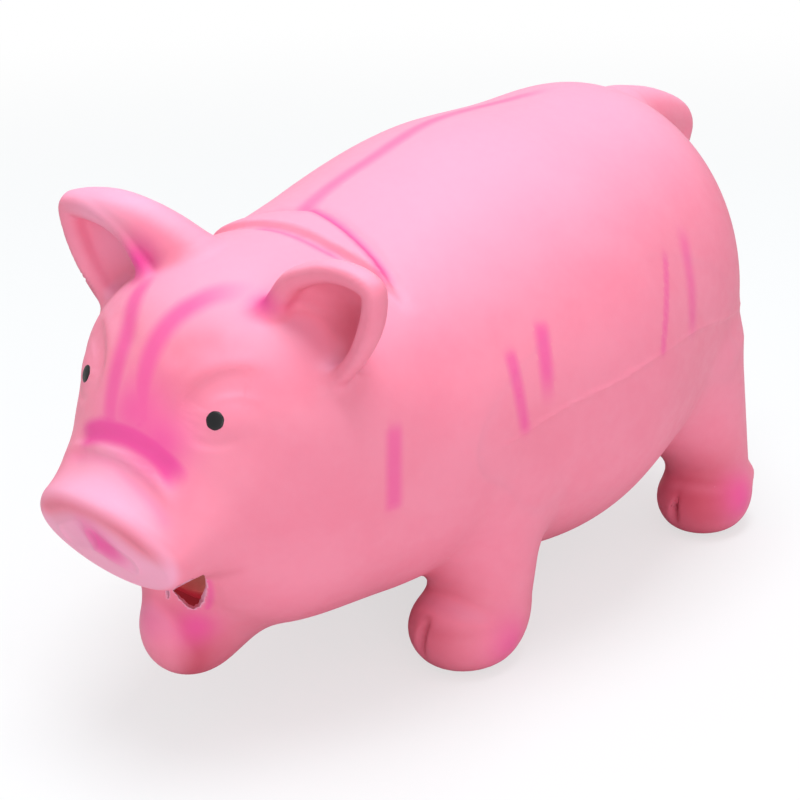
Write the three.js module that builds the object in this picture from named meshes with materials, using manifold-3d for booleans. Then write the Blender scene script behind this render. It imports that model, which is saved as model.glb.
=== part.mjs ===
// A hollow latex pig that grunts when it is squeezed and let go.
// Millimetres, +Z up. The pig looks along -Y, its left side is +X, and it stands on Z = 0.

import * as THREE from "three";
import { LoftGeometry } from "three/addons/geometries/LoftGeometry.js";
import { mergeVertices } from "three/addons/utils/BufferGeometryUtils.js";
import Module from "manifold-3d";

const wasm = await Module();
wasm.setup();

// Driving dimensions of the whole toy.
const toyLength = 215;
const toyWidth = 110;
const toyHeight = 117;
const skinWall = 2;
const seamGap = 0.3;

// The grunter in the throat.
const barrelRadius = 9;
const barrelWall = 1.4;
const barrelLength = 30;
const flangeRadius = 12;
const flangeThickness = 1.8;
const tongueThickness = 0.4;
const tongueWidth = 5;
const tongueLength = 17;

// The skin's forms are drawn for a toy of 215 x 110 x 117 mm and follow the driving dimensions.
const alongScale = toyLength / 215;
const acrossScale = toyWidth / 110;
const upScale = toyHeight / 117;

function form(y, z, rx, ry, rz) {
  return {
    y: y * alongScale,
    z: z * upScale,
    rx: rx * acrossScale,
    ry: ry * alongScale,
    rz: rz * upScale,
  };
}

const rump = form(65.7, 69.2, 41.8, 29.3, 46.5);
const barrelBelly = form(20.1, 62.1, 55.1, 55.2, 54.8);
const chest = form(-25.0, 64.2, 44.3, 38.7, 38.3);
const nape = form(-45.7, 57.1, 38.2, 30.7, 37.9);
const skull = form(-59.9, 73.1, 38.0, 29.5, 28.4);
const cheeks = form(-64.1, 47.4, 33.4, 25.1, 27.4);
const muzzle = form(-79.2, 59.9, 24.6, 16.7, 18.6);
const chin = form(-76.3, 23.8, 14.0, 14.7, 13.8);

const snoutDisc = {
  y: -99.3 * alongScale,
  z: 48.0 * upScale,
  rx: 25.1 * acrossScale,
  rz: 14.4 * upScale,
  depth: 14 * alongScale,
  tilt: THREE.MathUtils.degToRad(26),
};

const frontLeg = {
  hip: [32.4 * acrossScale, -15.9 * alongScale, 45.4 * upScale],
  hipRadius: 15.5 * acrossScale,
  ankle: [31.3 * acrossScale, -15.4 * alongScale, 14 * upScale],
  ankleRadius: 11.2 * acrossScale,
  toeReach: 5.5 * alongScale,
  footRadius: 13.1 * acrossScale,
};

const hindLeg = {
  hip: [29.5 * acrossScale, 66.1 * alongScale, 49.2 * upScale],
  hipRadius: 18.6 * acrossScale,
  ankle: [36.0 * acrossScale, 76.6 * alongScale, 14 * upScale],
  ankleRadius: 10.0 * acrossScale,
  toeReach: 4.5 * alongScale,
  footRadius: 12.4 * acrossScale,
};

const footHeight = 10.5 * upScale;
const blendReach = (acrossScale + alongScale + upScale) / 3;

// The seams and the features on the skin.
const partingHeight = 0.564 * toyHeight;
const neckSeamY = nape.y + 0.02 * nape.ry;
const neckRollWidth = 0.3 * nape.ry;
const neckSeamSlope = 0.23;
const neckRollRise = 0.8 * skinWall;
const mouthWidth = 0.31 * toyWidth;
const mouthHeight = 0.102 * toyHeight;
const mouthDepth = 0.125 * toyLength;
const eyeDotRadius = 0.022 * toyWidth;
const eyeDotFilm = 0.5;
const nostrilDepth = 0.6 * skinWall;
const flankPadLength = 0.25 * toyLength;
const flankPadHeight = 0.325 * toyHeight;

// The ears and the tail, which turn on rounded roots.
const earLength = 0.22 * toyHeight;
const earRootWidth = 0.205 * toyHeight;
const earRootRadius = 0.043 * toyHeight;
const earWall = 1.3 * skinWall;
const tailRootRadius = 0.085 * toyHeight;
const tailTipRadius = 0.75 * tailRootRadius;
const tailLength = 2.8 * tailRootRadius;
const tailSwing = THREE.MathUtils.degToRad(15);
const toeCleftWidth = 0.107 * frontLeg.footRadius;
const toeCleftReach = 0.69 * frontLeg.footRadius;

// Materials, one for each piece.
const latexPink = 0xf3a3bd;
const latexDeep = 0xe98aa8;

function paint(color, roughness) {
  return new THREE.MeshStandardMaterial({ color, roughness, metalness: 0 });
}

// Signed distances, about true near the surface, which blend into one skin.

function ellipsoidDistance(f, x, y, z) {
  const dy = y - f.y;
  const dz = z - f.z;
  const near = Math.hypot(x / f.rx, dy / f.ry, dz / f.rz);
  const steep = Math.hypot(x / f.rx ** 2, dy / f.ry ** 2, dz / f.rz ** 2);
  return (near * (near - 1)) / (steep + 1e-9);
}

function softUnion(a, b, reach) {
  const k = reach * blendReach;
  const h = THREE.MathUtils.clamp(0.5 + (0.5 * (b - a)) / k, 0, 1);
  return b + (a - b) * h - k * h * (1 - h);
}

function bodyDistance(x, y, z) {
  let torso = ellipsoidDistance(rump, x, y, z);
  torso = softUnion(torso, ellipsoidDistance(barrelBelly, x, y, z), 28);
  torso = softUnion(torso, ellipsoidDistance(chest, x, y, z), 28);
  torso = softUnion(torso, ellipsoidDistance(nape, x, y, z), 24);
  let head = ellipsoidDistance(skull, x, y, z);
  head = softUnion(head, ellipsoidDistance(cheeks, x, y, z), 16);
  head = softUnion(head, ellipsoidDistance(muzzle, x, y, z), 12);
  return softUnion(torso, head, 12);
}

function legDistance(leg, x, y, z) {
  const hip = new THREE.Vector3(...leg.hip);
  const ankle = new THREE.Vector3(...leg.ankle);
  const bone = ankle.clone().sub(hip);
  const point = new THREE.Vector3(x, y, z).sub(hip);
  const share = THREE.MathUtils.clamp(point.dot(bone) / bone.lengthSq(), 0, 1);
  const shank =
    point.distanceTo(bone.multiplyScalar(share)) -
    THREE.MathUtils.lerp(leg.hipRadius, leg.ankleRadius, share);
  const foot = {
    y: ankle.y - leg.toeReach,
    z: 0.8 * footHeight,
    rx: leg.footRadius,
    ry: leg.footRadius * 1.12,
    rz: footHeight,
  };
  return softUnion(shank, ellipsoidDistance(foot, x - ankle.x, y, z), 4);
}

// The distance from a point inside a form to its level surface, along a direction.
function reachTo(distance, origin, direction, level) {
  let low = 0;
  let high = 5;
  const at = (t) =>
    distance(
      origin.x + direction.x * t,
      origin.y + direction.y * t,
      origin.z + direction.z * t,
    ) - level;
  while (at(high) < 0 && high < 2 * toyLength) high *= 1.4;
  for (let i = 0; i < 30; i++) {
    const middle = (low + high) / 2;
    if (at(middle) < 0) low = middle;
    else high = middle;
  }
  return (low + high) / 2;
}

// A closed skin round a straight core from start to end, in rings that crowd towards both ends.
function skinRound(distance, start, end, level, rings, spokes) {
  const axis = end.clone().sub(start).normalize();
  const middle = start.clone().add(end).multiplyScalar(0.5);
  const back = axis.clone().negate();
  const first = middle
    .clone()
    .addScaledVector(back, reachTo(distance, middle, back, level));
  const last = middle
    .clone()
    .addScaledVector(axis, reachTo(distance, middle, axis, level));
  const side = new THREE.Vector3(1, 0, 0);
  const up = new THREE.Vector3().crossVectors(axis, side).normalize();
  const across = new THREE.Vector3().crossVectors(up, axis).normalize();
  const sections = [];
  for (let i = 0; i < rings; i++) {
    const angle = Math.PI * (0.035 + (0.93 * i) / (rings - 1));
    const centre = first.clone().lerp(last, (1 - Math.cos(angle)) / 2);
    const ring = [];
    for (let j = 0; j < spokes; j++) {
      const turn = (2 * Math.PI * j) / spokes;
      const ray = across
        .clone()
        .multiplyScalar(Math.cos(turn))
        .addScaledVector(up, Math.sin(turn));
      const reach = reachTo(distance, centre, ray, level);
      ring.push(centre.clone().addScaledVector(ray, reach));
    }
    sections.push(ring);
  }
  return new LoftGeometry(sections, {
    closed: true,
    capStart: true,
    capEnd: true,
  });
}

// Solids that can be joined and cut.

function solid(geometry) {
  const bare = new THREE.BufferGeometry();
  bare.setAttribute("position", geometry.getAttribute("position"));
  bare.setIndex(geometry.getIndex());
  const welded = mergeVertices(bare, 1e-3);
  const made = new wasm.Manifold(
    new wasm.Mesh({
      numProp: 3,
      vertProperties: new Float32Array(welded.attributes.position.array),
      triVerts: new Uint32Array(welded.index.array),
    }),
  );
  return made;
}

function geometryOf(made) {
  const mesh = made.getMesh();
  const points = new Float32Array(mesh.numVert * 3);
  for (let i = 0; i < mesh.numVert; i++) {
    points.set(
      mesh.vertProperties.subarray(i * mesh.numProp, i * mesh.numProp + 3),
      i * 3,
    );
  }
  const geometry = new THREE.BufferGeometry();
  geometry.setAttribute("position", new THREE.BufferAttribute(points, 3));
  geometry.setIndex(new THREE.BufferAttribute(new Uint32Array(mesh.triVerts), 1));
  geometry.computeVertexNormals();
  return geometry;
}

// The largest body of a solid, without the crumbs that a cut can leave.
function mainBody(made) {
  return made
    .decompose()
    .reduce((a, b) => (a.volume() > b.volume() ? a : b));
}

function box(low, high) {
  const size = new THREE.Vector3().subVectors(high, low);
  const centre = new THREE.Vector3().addVectors(low, high).multiplyScalar(0.5);
  return solid(
    new THREE.BoxGeometry(size.x, size.y, size.z).translate(
      centre.x,
      centre.y,
      centre.z,
    ),
  );
}

// Everything in front of a neck plane that leans with the seams, where front is -Y.
function aheadOf(seamY) {
  const big = 2 * toyLength;
  const lean = Math.atan(neckSeamSlope);
  const block = new THREE.BoxGeometry(big, big, big);
  block.translate(0, -big / 2, 0);
  block.rotateX(-lean);
  block.translate(0, seamY, toyHeight * 0.9);
  return solid(block);
}

function halfSpaceBelow(height) {
  const big = 2 * toyLength;
  return box(
    new THREE.Vector3(-big, -big, -big),
    new THREE.Vector3(big, big, height),
  );
}

// The body's skin from outside and inside, and a little grown for its neighbours' gaps.
const coreFront = new THREE.Vector3(0, -90 * alongScale, 60.5 * upScale);
const coreBack = new THREE.Vector3(0, 90 * alongScale, 67.5 * upScale);
const spokes = 30;
const rings = 20;

function bodyWithRoll(x, y, z) {
  const seam = neckSeamY + neckSeamSlope * (z - toyHeight * 0.9);
  const middle = seam + neckRollWidth / 2;
  const across = (2 * (y - middle)) / neckRollWidth;
  const crown = THREE.MathUtils.smoothstep(z, toyHeight * 0.6, toyHeight * 0.85);
  const rise = neckRollRise * Math.max(0, 1 - across * across) * crown;
  return bodyDistance(x, y, z) - rise;
}

const bodyOuter = solid(skinRound(bodyDistance, coreFront, coreBack, 0, rings, spokes));
const bodyInner = solid(
  skinRound(bodyDistance, coreFront, coreBack, -skinWall, rings, spokes),
);
const bodyGrown = solid(
  skinRound(bodyDistance, coreFront, coreBack, seamGap, rings, spokes),
);
const rollOuter = solid(skinRound(bodyWithRoll, coreFront, coreBack, 0, 34, spokes));

// A form's own ellipsoid, made larger or smaller by the amount grow.
function formSolid(f, grow) {
  const ball = new THREE.SphereGeometry(1, 20, 12);
  ball.scale(f.rx + grow, f.ry + grow, f.rz + grow);
  ball.translate(0, f.y, f.z);
  return solid(ball);
}

// The mouth is a flat oval slot between the snout and the chin.
const mouthY = cheeks.y - cheeks.ry - 1;
const mouthZ = chin.z + chin.rz + 0.2;

function mouthOval(grow) {
  const lips = new THREE.SphereGeometry(1, 18, 10);
  lips.scale(
    mouthWidth / 2 + grow,
    mouthDepth / 2 + grow,
    mouthHeight / 2 + grow,
  );
  lips.translate(0, mouthY, mouthZ);
  return solid(lips);
}

// Everything under a plane that rises backwards from the mouth's corners to the flank's parting line.
function belowMouthSeam(lift) {
  const big = 2 * toyLength;
  const block = new THREE.BoxGeometry(big, big, big);
  block.translate(0, 0, -big / 2);
  block.rotateX(Math.atan(0.75));
  block.translate(0, mouthY + 0.45 * (mouthDepth / 2), mouthZ + lift);
  return solid(block);
}

// The snout: a flat disc with a rounded rim on a short neck, open behind.
function snoutTube(inset, face) {
  const radius = snoutDisc.rz - inset;
  const rim = 4 - inset;
  const profile = [new THREE.Vector2(0, -snoutDisc.depth)];
  profile.push(new THREE.Vector2(radius * 0.93, -snoutDisc.depth));
  profile.push(new THREE.Vector2(radius * 0.95, -rim * 1.8));
  for (let i = 0; i <= 3; i++) {
    const turn = (Math.PI / 2) * (i / 3);
    profile.push(
      new THREE.Vector2(
        radius - rim + rim * Math.cos(turn),
        -rim + rim * Math.sin(turn) - face,
      ),
    );
  }
  profile.push(new THREE.Vector2(0, -face));
  const tube = new THREE.LatheGeometry(profile, 28);
  tube.scale((snoutDisc.rx - inset) / radius, 1, 1);
  tube.rotateX(Math.PI + snoutDisc.tilt);
  tube.translate(0, snoutDisc.y, snoutDisc.z);
  return solid(tube);
}

// The hollows of the snout and the chin stop at a wall round the mouth.
function snoutHollow() {
  return snoutTube(1.1 * skinWall, 1.1 * skinWall).subtract(mouthOval(skinWall));
}

function chinHollow() {
  return formSolid(chin, -skinWall).subtract(mouthOval(skinWall));
}

function nostrilCutters() {
  const cutters = [-1, 1].map((side) => {
    const pit = new THREE.SphereGeometry(1, 12, 8);
    pit.scale(2.8 * acrossScale, nostrilDepth, 4.4 * upScale);
    pit.rotateX(-snoutDisc.tilt);
    pit.translate(side * 0.27 * snoutDisc.rx, snoutDisc.y, snoutDisc.z);
    return solid(pit);
  });
  return cutters[0].add(cutters[1]);
}

// A leg: a shank that runs into a foot with a flat sole, hollow down to the foot.
function legSolid(leg, level) {
  const distance = (x, y, z) => legDistance(leg, x, y, z);
  const foot = new THREE.Vector3(...leg.ankle);
  const hip = new THREE.Vector3(...leg.hip);
  const whole = solid(skinRound(distance, foot, hip, level, 11, 18));
  return whole.subtract(halfSpaceBelow(level < 0 ? -level : 0));
}

function toeCleft(leg) {
  const cleft = new THREE.BoxGeometry(toeCleftWidth, toeCleftReach, toeCleftReach);
  cleft.rotateX(0.35);
  cleft.translate(
    leg.ankle[0],
    leg.ankle[1] - leg.toeReach - leg.footRadius * 1.12,
    footHeight * 0.3,
  );
  return solid(cleft);
}

// The ear's own frame: u runs out from the root to the tip, v along the root, w to the back.
const earRoot = new THREE.Vector3(0.69 * skull.rx, skull.y - 3, skull.z + 0.68 * skull.rz);
const earV = new THREE.Vector3(0.77, 0.06, -0.64).normalize();
const earU = new THREE.Vector3(0.64, -0.02, 0.77);
earU.addScaledVector(earV, -earU.dot(earV)).normalize();
const earW = new THREE.Vector3().crossVectors(earU, earV).normalize();
if (earW.y < 0) earW.negate();

// Places the root's axis a little under the skin, where the ear's rounded root turns.
const earAxisPoint = earRoot
  .clone()
  .addScaledVector(
    earU,
    reachTo(bodyDistance, earRoot, earU, 0) - 0.5 * earRootRadius,
  );

function earPlace(u, v, w) {
  return earAxisPoint
    .clone()
    .addScaledVector(earU, u)
    .addScaledVector(earV, v)
    .addScaledVector(earW, w);
}

// Crescent sections that grow from the root, open forwards, and close at the tip.
function earCup() {
  const rows = [
    [0.0, 0.0, 0.5, 0.14],
    [0.22, 0.0, 0.56, 0.26],
    [0.42, 0.03, 0.6, 0.36],
    [0.62, 0.08, 0.57, 0.33],
    [0.8, 0.14, 0.47, 0.26],
    [0.93, 0.22, 0.31, 0.17],
    [1.0, 0.27, 0.14, 0.1],
  ];
  const sections = rows.map(([out, shift, half, deep]) => {
    const ring = [];
    const a = half * earRootWidth;
    const b = deep * earRootWidth;
    const steps = 8;
    const u = out * (earLength + earRootRadius * 0.5);
    for (let i = 0; i <= steps; i++) {
      const turn = Math.PI * (i / steps);
      ring.push(
        earPlace(
          u,
          shift * earRootWidth - a * Math.cos(turn),
          b * Math.sin(turn) - 0.35 * b,
        ),
      );
    }
    const floor = Math.max(0.3 * b, b - earWall);
    for (let i = steps - 1; i >= 1; i--) {
      const turn = Math.PI * (i / steps);
      ring.push(
        earPlace(
          u,
          shift * earRootWidth - (a - 0.6 * earWall) * Math.cos(turn),
          (out === 0 ? 0.1 * b : floor) * Math.sin(turn) - 0.35 * b,
        ),
      );
    }
    return ring;
  });
  return sections;
}

// A loft needs its rings to run counter-clockwise as its end looks back at its start.
function loftSolid(sections) {
  const [first, second] = sections;
  const normal = new THREE.Vector3();
  const onward = new THREE.Vector3();
  first.forEach((point, i) => {
    const next = first[(i + 1) % first.length];
    normal.add(new THREE.Vector3().crossVectors(point, next));
    onward.add(second[i]).sub(point);
  });
  const facing = normal.dot(onward) > 0;
  const rings = facing ? sections : sections.map((ring) => ring.slice().reverse());
  return solid(
    new LoftGeometry(rings, { closed: true, capStart: true, capEnd: true }),
  );
}

function earKnuckle(grow) {
  const capsule = new THREE.CapsuleGeometry(
    earRootRadius + grow,
    earRootWidth - 2 * earRootRadius,
    4,
    14,
  );
  const turn = new THREE.Quaternion().setFromUnitVectors(
    new THREE.Vector3(0, 1, 0),
    earV,
  );
  capsule.applyQuaternion(turn);
  capsule.translate(earAxisPoint.x, earAxisPoint.y, earAxisPoint.z);
  return solid(capsule);
}

// The tail's root ball sits in the rump, and its stub points out and back.
const tailOut = new THREE.Vector3(0, 0.97, 0.24).normalize();
const tailCore = new THREE.Vector3(0, rump.y, rump.z + 0.6 * rump.rz);
const tailPivot = tailCore
  .clone()
  .addScaledVector(
    tailOut,
    reachTo(bodyDistance, tailCore, tailOut, 0) - 0.35 * tailRootRadius,
  );

function tailSolid(grow, swing) {
  const root = tailRootRadius + grow;
  const tip = tailTipRadius + grow;
  const profile = [new THREE.Vector2(0, -root)];
  for (let i = 1; i <= 7; i++) {
    const turn = -Math.PI / 2 + (Math.PI * 0.68 * i) / 7;
    profile.push(
      new THREE.Vector2(root * Math.cos(turn), root * Math.sin(turn)),
    );
  }
  const tipCentre = tailLength - tailTipRadius;
  for (let i = 0; i <= 4; i++) {
    const turn = (Math.PI / 2) * (i / 4);
    profile.push(
      new THREE.Vector2(
        i === 4 ? 0 : tip * Math.cos(turn),
        tipCentre + tip * Math.sin(turn),
      ),
    );
  }
  const stub = new THREE.LatheGeometry(profile, 18);
  const turn = new THREE.Quaternion().setFromUnitVectors(
    new THREE.Vector3(0, 1, 0),
    tailOut,
  );
  stub.applyQuaternion(turn);
  stub.rotateX(swing);
  stub.translate(tailPivot.x, tailPivot.y, tailPivot.z);
  return solid(stub);
}

// The hole in the rump round the tail's root, with room for the stub to swing down.
function tailPocket() {
  const ball = new THREE.SphereGeometry(tailRootRadius + 2 * seamGap, 20, 12);
  ball.translate(tailPivot.x, tailPivot.y, tailPivot.z);
  let pocket = solid(ball);
  for (const share of [0, 0.5, 1]) {
    pocket = pocket.add(tailSolid(1.5 * seamGap, -share * tailSwing));
  }
  return pocket;
}

// An upright oval prism along X that cuts the squeezable pad out of one flank.
function flankPrism(side, grow) {
  const oval = new THREE.CylinderGeometry(1, 1, toyWidth, 28);
  oval.rotateZ(Math.PI / 2);
  oval.scale(1, flankPadLength / 2 + grow, flankPadHeight / 2 + grow);
  oval.translate((side * toyWidth) / 2, barrelBelly.y, barrelBelly.z);
  const outerHalf = box(
    new THREE.Vector3(toyWidth * 0.2, -toyLength, -toyHeight),
    new THREE.Vector3(toyWidth, toyLength, 2 * toyHeight),
  );
  return solid(oval).intersect(side > 0 ? outerHalf : outerHalf.mirror([1, 0, 0]));
}

// An eye's painted dot: a thin disc that lies just off the skin, along the skin's normal.
function eyeDot(side) {
  const core = new THREE.Vector3(0, skull.y, skull.z);
  const look = new THREE.Vector3(
    side * 0.52 * skull.rx,
    -0.87 * skull.ry,
    0.2 * skull.rz,
  ).normalize();
  const spot = core.addScaledVector(look, reachTo(bodyDistance, core, look, 0));
  const step = 0.5;
  const slope = (dx, dy, dz) =>
    bodyDistance(spot.x + dx, spot.y + dy, spot.z + dz) -
    bodyDistance(spot.x - dx, spot.y - dy, spot.z - dz);
  const normal = new THREE.Vector3(
    slope(step, 0, 0),
    slope(0, step, 0),
    slope(0, 0, step),
  ).normalize();
  const disc = new THREE.CylinderGeometry(eyeDotRadius, eyeDotRadius, eyeDotFilm, 18);
  disc.applyQuaternion(
    new THREE.Quaternion().setFromUnitVectors(new THREE.Vector3(0, 1, 0), normal),
  );
  spot.addScaledVector(normal, seamGap + eyeDotFilm / 2);
  disc.translate(spot.x, spot.y, spot.z);
  return solid(disc);
}

// The grunter's axis runs along Y behind the mouth.
const throatY = cheeks.y - 0.3 * cheeks.ry;
const throatZ = cheeks.z - 1;

function turned(profile, segments) {
  const made = new THREE.LatheGeometry(
    profile.map(([r, y]) => new THREE.Vector2(r, y)),
    segments,
  );
  made.translate(0, throatY, throatZ);
  return solid(made);
}

function barrelSolid() {
  const inner = barrelRadius - barrelWall;
  return turned(
    [
      [inner, 0],
      [flangeRadius, 0],
      [flangeRadius, flangeThickness],
      [barrelRadius, flangeThickness],
      [barrelRadius, barrelLength],
      [inner, barrelLength],
      [inner, 0],
    ],
    22,
  );
}

function inletCap() {
  const radius = barrelRadius - barrelWall - seamGap;
  let cap = turned(
    [
      [0, barrelLength - 2],
      [radius, barrelLength - 2],
      [radius, barrelLength],
      [0, barrelLength],
    ],
    22,
  );
  for (let i = 0; i < 6; i++) {
    const turn = (Math.PI / 3) * i;
    const hole = new THREE.CylinderGeometry(1.1, 1.1, 8, 8);
    hole.translate(
      radius * 0.6 * Math.cos(turn),
      throatY + barrelLength,
      throatZ + radius * 0.6 * Math.sin(turn),
    );
    cap = cap.subtract(solid(hole));
  }
  return cap;
}

const seatLength = barrelLength - 2 - 4 * seamGap - 3;
const seatStart = throatY + 3;
const seatTop = throatZ - 0.5;

function reedSeat() {
  const radius = barrelRadius - barrelWall - seamGap;
  const round = turned(
    [
      [0, 3],
      [radius, 3],
      [radius, 3 + seatLength],
      [0, 3 + seatLength],
    ],
    22,
  );
  const flat = box(
    new THREE.Vector3(-toyWidth, seatStart - 1, seatTop),
    new THREE.Vector3(toyWidth, seatStart + seatLength + 1, seatTop + toyHeight),
  );
  const groove = box(
    new THREE.Vector3(-0.3 * tongueWidth, seatStart - 1, seatTop - 3),
    new THREE.Vector3(0.3 * tongueWidth, seatStart + tongueLength - 3, seatTop + 1),
  );
  return round.subtract(flat).subtract(groove);
}

const wedgeLength = 4.5;
const tongueEnd = seatStart + tongueLength;
const tongueLow = seatTop + seamGap;

function reedTongue() {
  return box(
    new THREE.Vector3(-tongueWidth / 2, seatStart + 1, tongueLow),
    new THREE.Vector3(tongueWidth / 2, tongueEnd, tongueLow + tongueThickness),
  );
}

function reedWedge() {
  const low = tongueLow + tongueThickness + seamGap;
  return box(
    new THREE.Vector3(-0.8 * tongueWidth, tongueEnd - wedgeLength + 0.6, low),
    new THREE.Vector3(0.8 * tongueWidth, tongueEnd + 1, low + 2.6),
  );
}

// A latex web across the throat, which seals the grunter to the skin.
function throatWeb() {
  const web = box(
    new THREE.Vector3(-toyWidth, throatY + flangeThickness + seamGap, -toyHeight),
    new THREE.Vector3(toyWidth, throatY + flangeThickness + seamGap + 2, 2 * toyHeight),
  );
  const inside = solid(
    skinRound(bodyDistance, coreFront, coreBack, -skinWall - seamGap, rings, spokes),
  );
  const hole = new THREE.CylinderGeometry(
    barrelRadius + seamGap,
    barrelRadius + seamGap,
    20,
    22,
  );
  hole.translate(0, throatY, throatZ);
  const knuckle = earKnuckle(2 * seamGap);
  return web
    .intersect(inside)
    .subtract(knuckle)
    .subtract(mirrored(knuckle))
    .subtract(solid(hole));
}

// The recess behind the lips: a thick latex cup with a small air vent to the grunter.
function mouthLining() {
  const inside = solid(
    skinRound(bodyDistance, coreFront, coreBack, -skinWall - seamGap, rings, spokes),
  );
  const front = box(
    new THREE.Vector3(-toyWidth, -toyLength, -toyHeight),
    new THREE.Vector3(toyWidth, throatY - seamGap, toyHeight),
  );
  const vent = new THREE.CylinderGeometry(1.8, 1.8, 3 * mouthDepth, 12);
  vent.translate(0, mouthY + mouthDepth, mouthZ + 2);
  return mouthOval(2 * skinWall)
    .intersect(inside)
    .intersect(front)
    .subtract(mouthOval(0))
    .subtract(solid(vent));
}

// The skin's regions, cut from one hollow form along the seams.

const pig = new THREE.Group();
pig.name = "latex_pig";

function add(name, made, material) {
  const mesh = new THREE.Mesh(geometryOf(mainBody(made)), material);
  mesh.name = name;
  pig.add(mesh);
}

function mirrored(made) {
  return made.mirror([1, 0, 0]);
}

const legs = [frontLeg, hindLeg];
const legOuters = legs.map((leg) => legSolid(leg, 0));
const legInners = legs.map((leg) => legSolid(leg, -skinWall));
const legHollows = legInners.map((inner) => inner.add(mirrored(inner)));

function buildTorso() {
  const frontOfSeam = aheadOf(neckSeamY + neckRollWidth);
  const shell = bodyOuter.subtract(bodyInner);
  let torso = shell
    .subtract(frontOfSeam)
    .subtract(flankPrism(1, seamGap))
    .subtract(flankPrism(-1, seamGap))
    .subtract(tailPocket());
  for (const hollow of legHollows) torso = torso.subtract(hollow);
  const below = halfSpaceBelow(partingHeight);
  const belowBack = halfSpaceBelow(partingHeight + seamGap);
  add("back_skin", torso.subtract(belowBack), paint(latexPink, 0.62));
  add("belly_skin", torso.intersect(below), paint(latexPink, 0.62));
  const pads = [1, -1].map((side) => shell.intersect(flankPrism(side, 0)));
  add("left_flank_pad", pads[0], paint(latexPink, 0.62));
  add("right_flank_pad", pads[1], paint(latexPink, 0.62));
}

function buildHead() {
  const shell = bodyOuter.subtract(bodyInner);
  const rollShell = rollOuter.subtract(bodyInner);
  const roll = rollShell
    .intersect(aheadOf(neckSeamY + neckRollWidth - seamGap))
    .subtract(aheadOf(neckSeamY + seamGap));
  const knuckles = earKnuckle(seamGap).add(mirrored(earKnuckle(seamGap)));
  const mouth = mouthOval(0);
  const head = shell
    .intersect(aheadOf(neckSeamY))
    .subtract(knuckles)
    .subtract(mouth)
    .subtract(snoutHollow())
    .subtract(chinHollow());
  add("neck_roll", roll, paint(latexPink, 0.62));
  add("head_skin", head.subtract(belowMouthSeam(seamGap)), paint(latexPink, 0.62));
  add("throat_skin", head.intersect(belowMouthSeam(0)), paint(latexPink, 0.62));
  add("mouth_lining", mouthLining(), paint(0x8f6a5a, 0.7));
  const snout = snoutTube(0, 0)
    .subtract(snoutHollow())
    .subtract(bodyGrown)
    .subtract(mouth)
    .subtract(nostrilCutters());
  add("snout", snout, paint(latexPink, 0.6));
  const jaw = formSolid(chin, 0)
    .subtract(chinHollow())
    .subtract(bodyGrown)
    .subtract(mouth)
    .subtract(snoutTube(-seamGap, -seamGap));
  add("lower_jaw", jaw, paint(latexDeep, 0.6));
  add("left_eye_dot", eyeDot(1), paint(0x161616, 0.35));
  add("right_eye_dot", eyeDot(-1), paint(0x161616, 0.35));
}

function buildLegs() {
  legs.forEach((leg, i) => {
    const place = i === 0 ? "front_leg" : "hind_leg";
    const left = legOuters[i]
      .subtract(legInners[i])
      .subtract(bodyGrown)
      .subtract(toeCleft(leg));
    add("left_" + place, left, paint(latexPink, 0.62));
    add("right_" + place, mirrored(left), paint(latexPink, 0.62));
  });
}

function buildEarsAndTail() {
  const ear = loftSolid(earCup()).add(earKnuckle(0));
  add("left_ear", ear, paint(latexPink, 0.62));
  add("right_ear", mirrored(ear), paint(latexPink, 0.62));
  add("tail", tailSolid(0, 0), paint(latexPink, 0.62));
}

function buildGrunter() {
  add("throat_web", throatWeb(), paint(0xc9a37e, 0.7));
  add("grunter_barrel", barrelSolid(), paint(0xf2f0ea, 0.4));
  add("inlet_cap", inletCap(), paint(0xf2f0ea, 0.4));
  add("reed_seat", reedSeat(), paint(0xe8e4da, 0.45));
  add("reed_tongue", reedTongue(), paint(0xd8cfb4, 0.3));
  add("reed_wedge", reedWedge(), paint(0xf2f0ea, 0.4));
}

buildTorso();
buildHead();
buildLegs();
buildEarsAndTail();
buildGrunter();

// The frame's origin is under the middle of the toy.
const extent = new THREE.Box3().setFromObject(pig);
pig.position.y = -(extent.min.y + extent.max.y) / 2;
pig.position.z = -extent.min.z;

export default pig;
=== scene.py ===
# A hollow latex pig that grunts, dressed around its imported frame.
# The forms are worked in millimetres and brought to metres when a piece is finished.
import math

import bpy
import bmesh
import numpy as np
from mathutils import Matrix, Vector


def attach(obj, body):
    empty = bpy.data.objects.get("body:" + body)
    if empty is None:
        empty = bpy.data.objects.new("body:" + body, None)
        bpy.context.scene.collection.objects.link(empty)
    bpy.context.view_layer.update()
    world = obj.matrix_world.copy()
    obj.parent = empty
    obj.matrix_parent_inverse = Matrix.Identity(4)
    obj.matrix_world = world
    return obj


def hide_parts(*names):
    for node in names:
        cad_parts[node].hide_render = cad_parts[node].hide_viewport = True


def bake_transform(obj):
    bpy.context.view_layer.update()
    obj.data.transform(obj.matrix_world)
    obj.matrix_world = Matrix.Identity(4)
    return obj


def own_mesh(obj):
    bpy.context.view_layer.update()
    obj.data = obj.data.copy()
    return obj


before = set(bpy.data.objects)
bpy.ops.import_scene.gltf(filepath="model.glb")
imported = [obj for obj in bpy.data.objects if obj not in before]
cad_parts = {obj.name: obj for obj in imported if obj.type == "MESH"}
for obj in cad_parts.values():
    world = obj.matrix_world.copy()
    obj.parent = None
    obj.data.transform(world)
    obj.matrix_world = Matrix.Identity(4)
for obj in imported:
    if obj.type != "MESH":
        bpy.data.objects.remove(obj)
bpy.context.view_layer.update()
print("frame loaded:", len(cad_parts), "nodes")

scene = bpy.context.scene
mm = 0.001
hands = (("left", 1), ("right", -1))


# The view

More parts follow.
